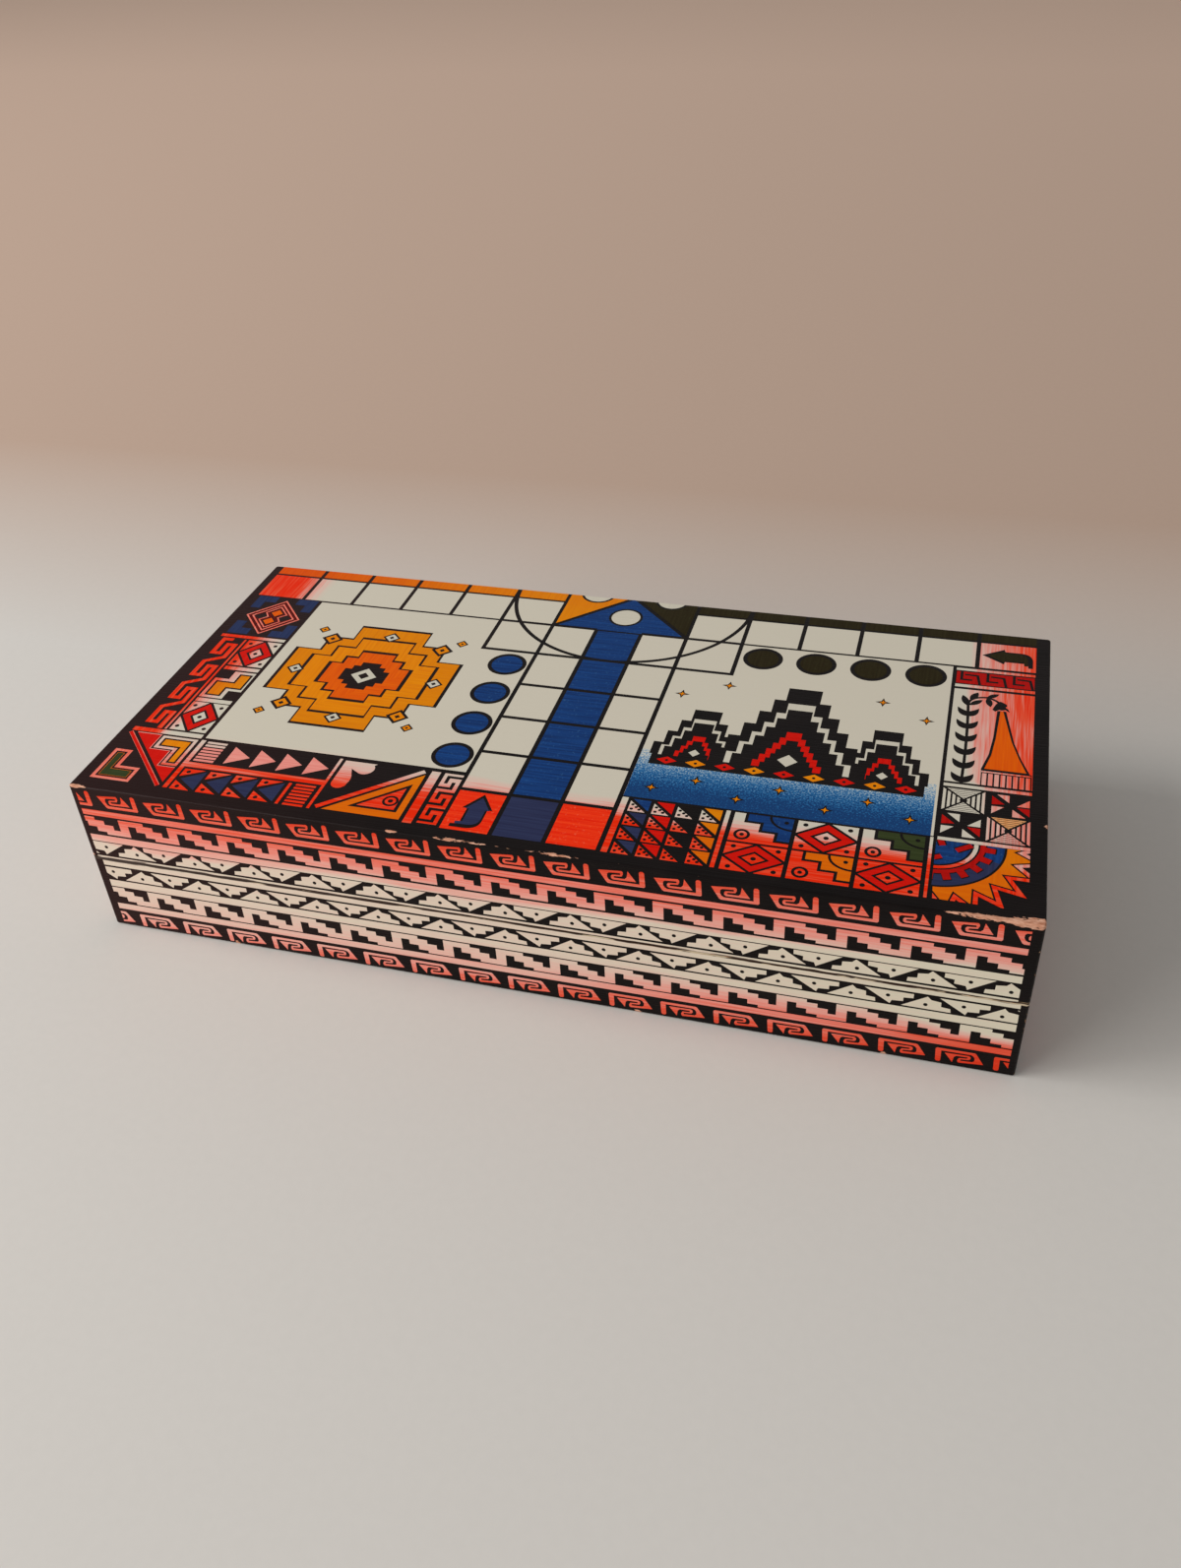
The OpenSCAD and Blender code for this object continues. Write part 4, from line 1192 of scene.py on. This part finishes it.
class LUDO_OT_wooden_case(bpy.types.Operator):
    """Finish the panels and rails of both halves as black-inked cedar"""

    bl_idname = "ludo.wooden_case"
    bl_label = "Wooden case"

    def execute(self, context):
        settings = context.scene.ludo_print
        for name, along, parts in (("long_grain", "x", ("panel", "front_rail", "back_rail")),
                                   ("end_rails", "y", ("left_rail", "right_rail"))):
            wood = finished(f"black_inked_cedar_{name}", printed_wood, along, settings.wear,
                            settings.roughness)
            for part in parts:
                dress(f"base_{part}", wood)
                dress(f"lid_{part}", wood)
        return {"FINISHED"}


class LUDO_OT_board_print(bpy.types.Operator):
    """Print the two halves of the board on the outsides of the lid and the base"""

    bl_idname = "ludo.board_print"
    bl_label = "Board print"

    def execute(self, context):
        settings = context.scene.ludo_print
        materials = ink_materials(context.scene)
        proud, margin = settings.proud / MM, settings.margin / MM
        start = DEPTH - EDGE_RADIUS
        radius = EDGE_RADIUS + proud
        wrap = EDGE_RADIUS * math.pi / 2 * WRAP_SHARE
        window = (margin, margin, LENGTH - margin, start + wrap)
        folds = [start + wrap * k / WRAP_FOLDS for k in range(WRAP_FOLDS)]
        for half, side in (("lid", 1), ("base", -1)):

            def surface(u, v):
                bend = np.clip(v - start, 0, None) / EDGE_RADIUS
                y = np.minimum(v, start) - DEPTH / 2 + radius * np.sin(bend)
                inward = EDGE_RADIUS - radius * np.cos(bend)
                z = HEIGHT - inward if side > 0 else inward
                return np.column_stack((side * (u - LENGTH / 2), y, z))

            layers = board_half(*BOARD_HALVES[half])
            film(f"{half}_board_print", half, layers, window, surface, materials, folds)
        return {"FINISHED"}


class LUDO_OT_side_print(bpy.types.Operator):
    """Print the bands round the four sides of both halves"""

    bl_idname = "ludo.side_print"
    bl_label = "Side print"

    def execute(self, context):
        settings = context.scene.ludo_print
        materials = ink_materials(context.scene)
        proud, margin = settings.proud / MM, settings.margin / MM
        # Each side's length, its middle and its direction to the right, seen from outside
        sides = {
            "front": (LENGTH, (0, -DEPTH / 2), (1, 0)),
            "right": (DEPTH, (LENGTH / 2, 0), (0, 1)),
            "back": (LENGTH, (0, DEPTH / 2), (-1, 0)),
            "left": (DEPTH, (-LENGTH / 2, 0), (0, -1)),
        }
        for side, (length, middle, along) in sides.items():
            outward = np.array((along[1], -along[0]), float)
            barrels = []
            if side == "back":
                for u in (length / 2 + BARREL_X, length / 2 - BARREL_X):
                    barrels += [(BLACK, rect(u - BARREL_HALF_LENGTH, PARTING - BARREL_HALF_HEIGHT,
                                             u + BARREL_HALF_LENGTH, PARTING + BARREL_HALF_HEIGHT))]

            def surface(u, v):
                flat = np.outer(u - length / 2, along) + middle + outward * proud
                return np.column_stack((flat, v))

            for half, bands, low, high in (("base", base_bands, margin, PARTING - JOINT_MARGIN),
                                           ("lid", lid_bands, PARTING + JOINT_MARGIN, HEIGHT - margin)):
                left, right = END_MARGINS[half]
                film(f"{half}_{side}_print", half, bands(length) + barrels,
                     (left, low, length - right, high), surface, materials)
        return {"FINISHED"}


class LUDO_OT_hinges_and_catch(bpy.types.Operator):
    """Finish the hinges, their screws and the catch magnets"""

    bl_idname = "ludo.hinges_and_catch"
    bl_label = "Hinges and catch"

    def execute(self, context):
        for name, look, nodes in METALS:
            metal = finished(name, metal_finish, *look)
            for node in nodes:
                dress(node, metal)
        return {"FINISHED"}


class LUDO_OT_counters(bpy.types.Operator):
    """Finish the four sets of turned counters"""

    bl_idname = "ludo.counters"
    bl_label = "Counters"

    def execute(self, context):
        for colour, (_, rubbed) in COUNTER_ENAMELS.items():
            paint = tuple(getattr(context.scene.ludo_colours, f"{colour}_counter"))
            enamel = finished(f"{colour}_gloss_enamel", enamel_finish, paint, linear(rubbed))
            for number in range(1, 5):
                dress(f"counter_{colour}_{number}", enamel)
        return {"FINISHED"}


class LUDO_OT_dice(bpy.types.Operator):
    """Finish the two dice"""

    bl_idname = "ludo.dice"
    bl_label = "Dice"

    def execute(self, context):
        for node, turn in DICE_TURNS.items():
            dress(node, finished(f"polished_ivory_{node}", die_finish, node, turn))
        return {"FINISHED"}


def placed_in(scene, name, data):
    """A new object in the scene that holds a mesh, a lamp or a camera."""
    made = bpy.data.objects.new(name, data)
    scene.collection.objects.link(made)
    return made


def soft_light(scene, name, power, size, place, toward, colour):
    """A round area lamp of a power and a size at a place, which faces a point."""
    lamp = bpy.data.lights.new(name, "AREA")
    lamp.energy = power
    lamp.shape = "DISK"
    lamp.size = size
    lamp.color = linear(colour)[:3]
    holder = placed_in(scene, name, lamp)
    holder.location = place
    holder.rotation_euler = (Vector(toward) - Vector(place)).to_track_quat("-Z", "Y").to_euler()


class LUDO_OT_stage(bpy.types.Operator):
    """Lay the floor, hang the lights and place the camera"""

    bl_idname = "ludo.stage"
    bl_label = "Stage"

    def execute(self, context):
        scene = context.scene
        settings = scene.ludo_stage
        half = settings.floor_size / 2
        mesh = bpy.data.meshes.new("paper_floor")
        mesh.from_pydata([(u, v, FLOOR_Z) for u, v in rect(-half, -half, half, half)], [], [(0, 1, 2, 3)])
        mesh.materials.append(finished("warm_grey_paper", matte_floor, tuple(settings.floor_colour),
                                       tuple(settings.far_shade_colour)))
        floor = placed_in(scene, "paper_floor", mesh)
        middle = (0, 0, PARTING * MM)
        soft_light(scene, "key_light", settings.key_power, 1.6, (-2.4, -0.5, 1.9), middle, "#FFFCF8")
        soft_light(scene, "fill_light", settings.key_power * 0.26, 1.0, (-1.0, -0.9, 0.5), middle, "#FFFAF6")
        scene.world = bpy.data.worlds.new("pale_room")
        scene.world.use_nodes = True
        tree = scene.world.node_tree
        tree.nodes.clear()
        room = add("Background", tree=tree, Color=linear("#F7F4F1"), Strength=settings.sky_level)
        add("OutputWorld", Surface=room)
        scene.view_settings.view_transform = "Standard"
        view = bpy.data.cameras.new("camera")
        view.lens = settings.focal_length
        view.sensor_width = FRAME_LONG_SIDE
        view.clip_start = 0.01
        view.clip_end = 50.0
        scene.camera = placed_in(scene, "camera", view)
        turn = (Matrix.Rotation(settings.camera_azimuth, 4, "Z")
                @ Matrix.Rotation(math.pi / 2 - settings.camera_drop, 4, "X")
                @ Matrix.Rotation(settings.camera_roll, 4, "Z"))
        scene.camera.matrix_world = Matrix.Translation(settings.camera_place) @ turn
        return {"FINISHED"}


class LUDO_PT_panel(bpy.types.Panel):
    """Lists the steps that dress the ludo board"""

    bl_idname = "LUDO_PT_panel"
    bl_label = "Folding Ludo Board"
    bl_space_type = "VIEW_3D"
    bl_region_type = "UI"
    bl_category = "Ludo"

    def draw(self, context):
        for operator in OPERATORS:
            self.layout.operator(operator.bl_idname)
        for name, group in SETTINGS.items():
            for size_or_colour in group.__annotations__:
                self.layout.prop(getattr(context.scene, name), size_or_colour)


SETTINGS = {"ludo_print": LudoPrintSettings, "ludo_colours": LudoColourSettings,
            "ludo_stage": LudoStageSettings}
OPERATORS = (LUDO_OT_wooden_case, LUDO_OT_board_print, LUDO_OT_side_print, LUDO_OT_hinges_and_catch,
             LUDO_OT_counters, LUDO_OT_dice, LUDO_OT_stage)
CLASSES = (*SETTINGS.values(), *OPERATORS, LUDO_PT_panel)


def register():
    for cls in CLASSES:
        bpy.utils.register_class(cls)
    for name, group in SETTINGS.items():
        setattr(bpy.types.Scene, name, bpy.props.PointerProperty(type=group))


def unregister():
    for name in SETTINGS:
        delattr(bpy.types.Scene, name)
    for cls in reversed(CLASSES):
        bpy.utils.unregister_class(cls)


def main():
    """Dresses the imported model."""
    register()
    bpy.ops.ludo.wooden_case()
    bpy.ops.ludo.board_print()
    bpy.ops.ludo.side_print()
    bpy.ops.ludo.hinges_and_catch()
    bpy.ops.ludo.counters()
    bpy.ops.ludo.dice()
    bpy.ops.ludo.stage()


if __name__ == "__main__":
    main()
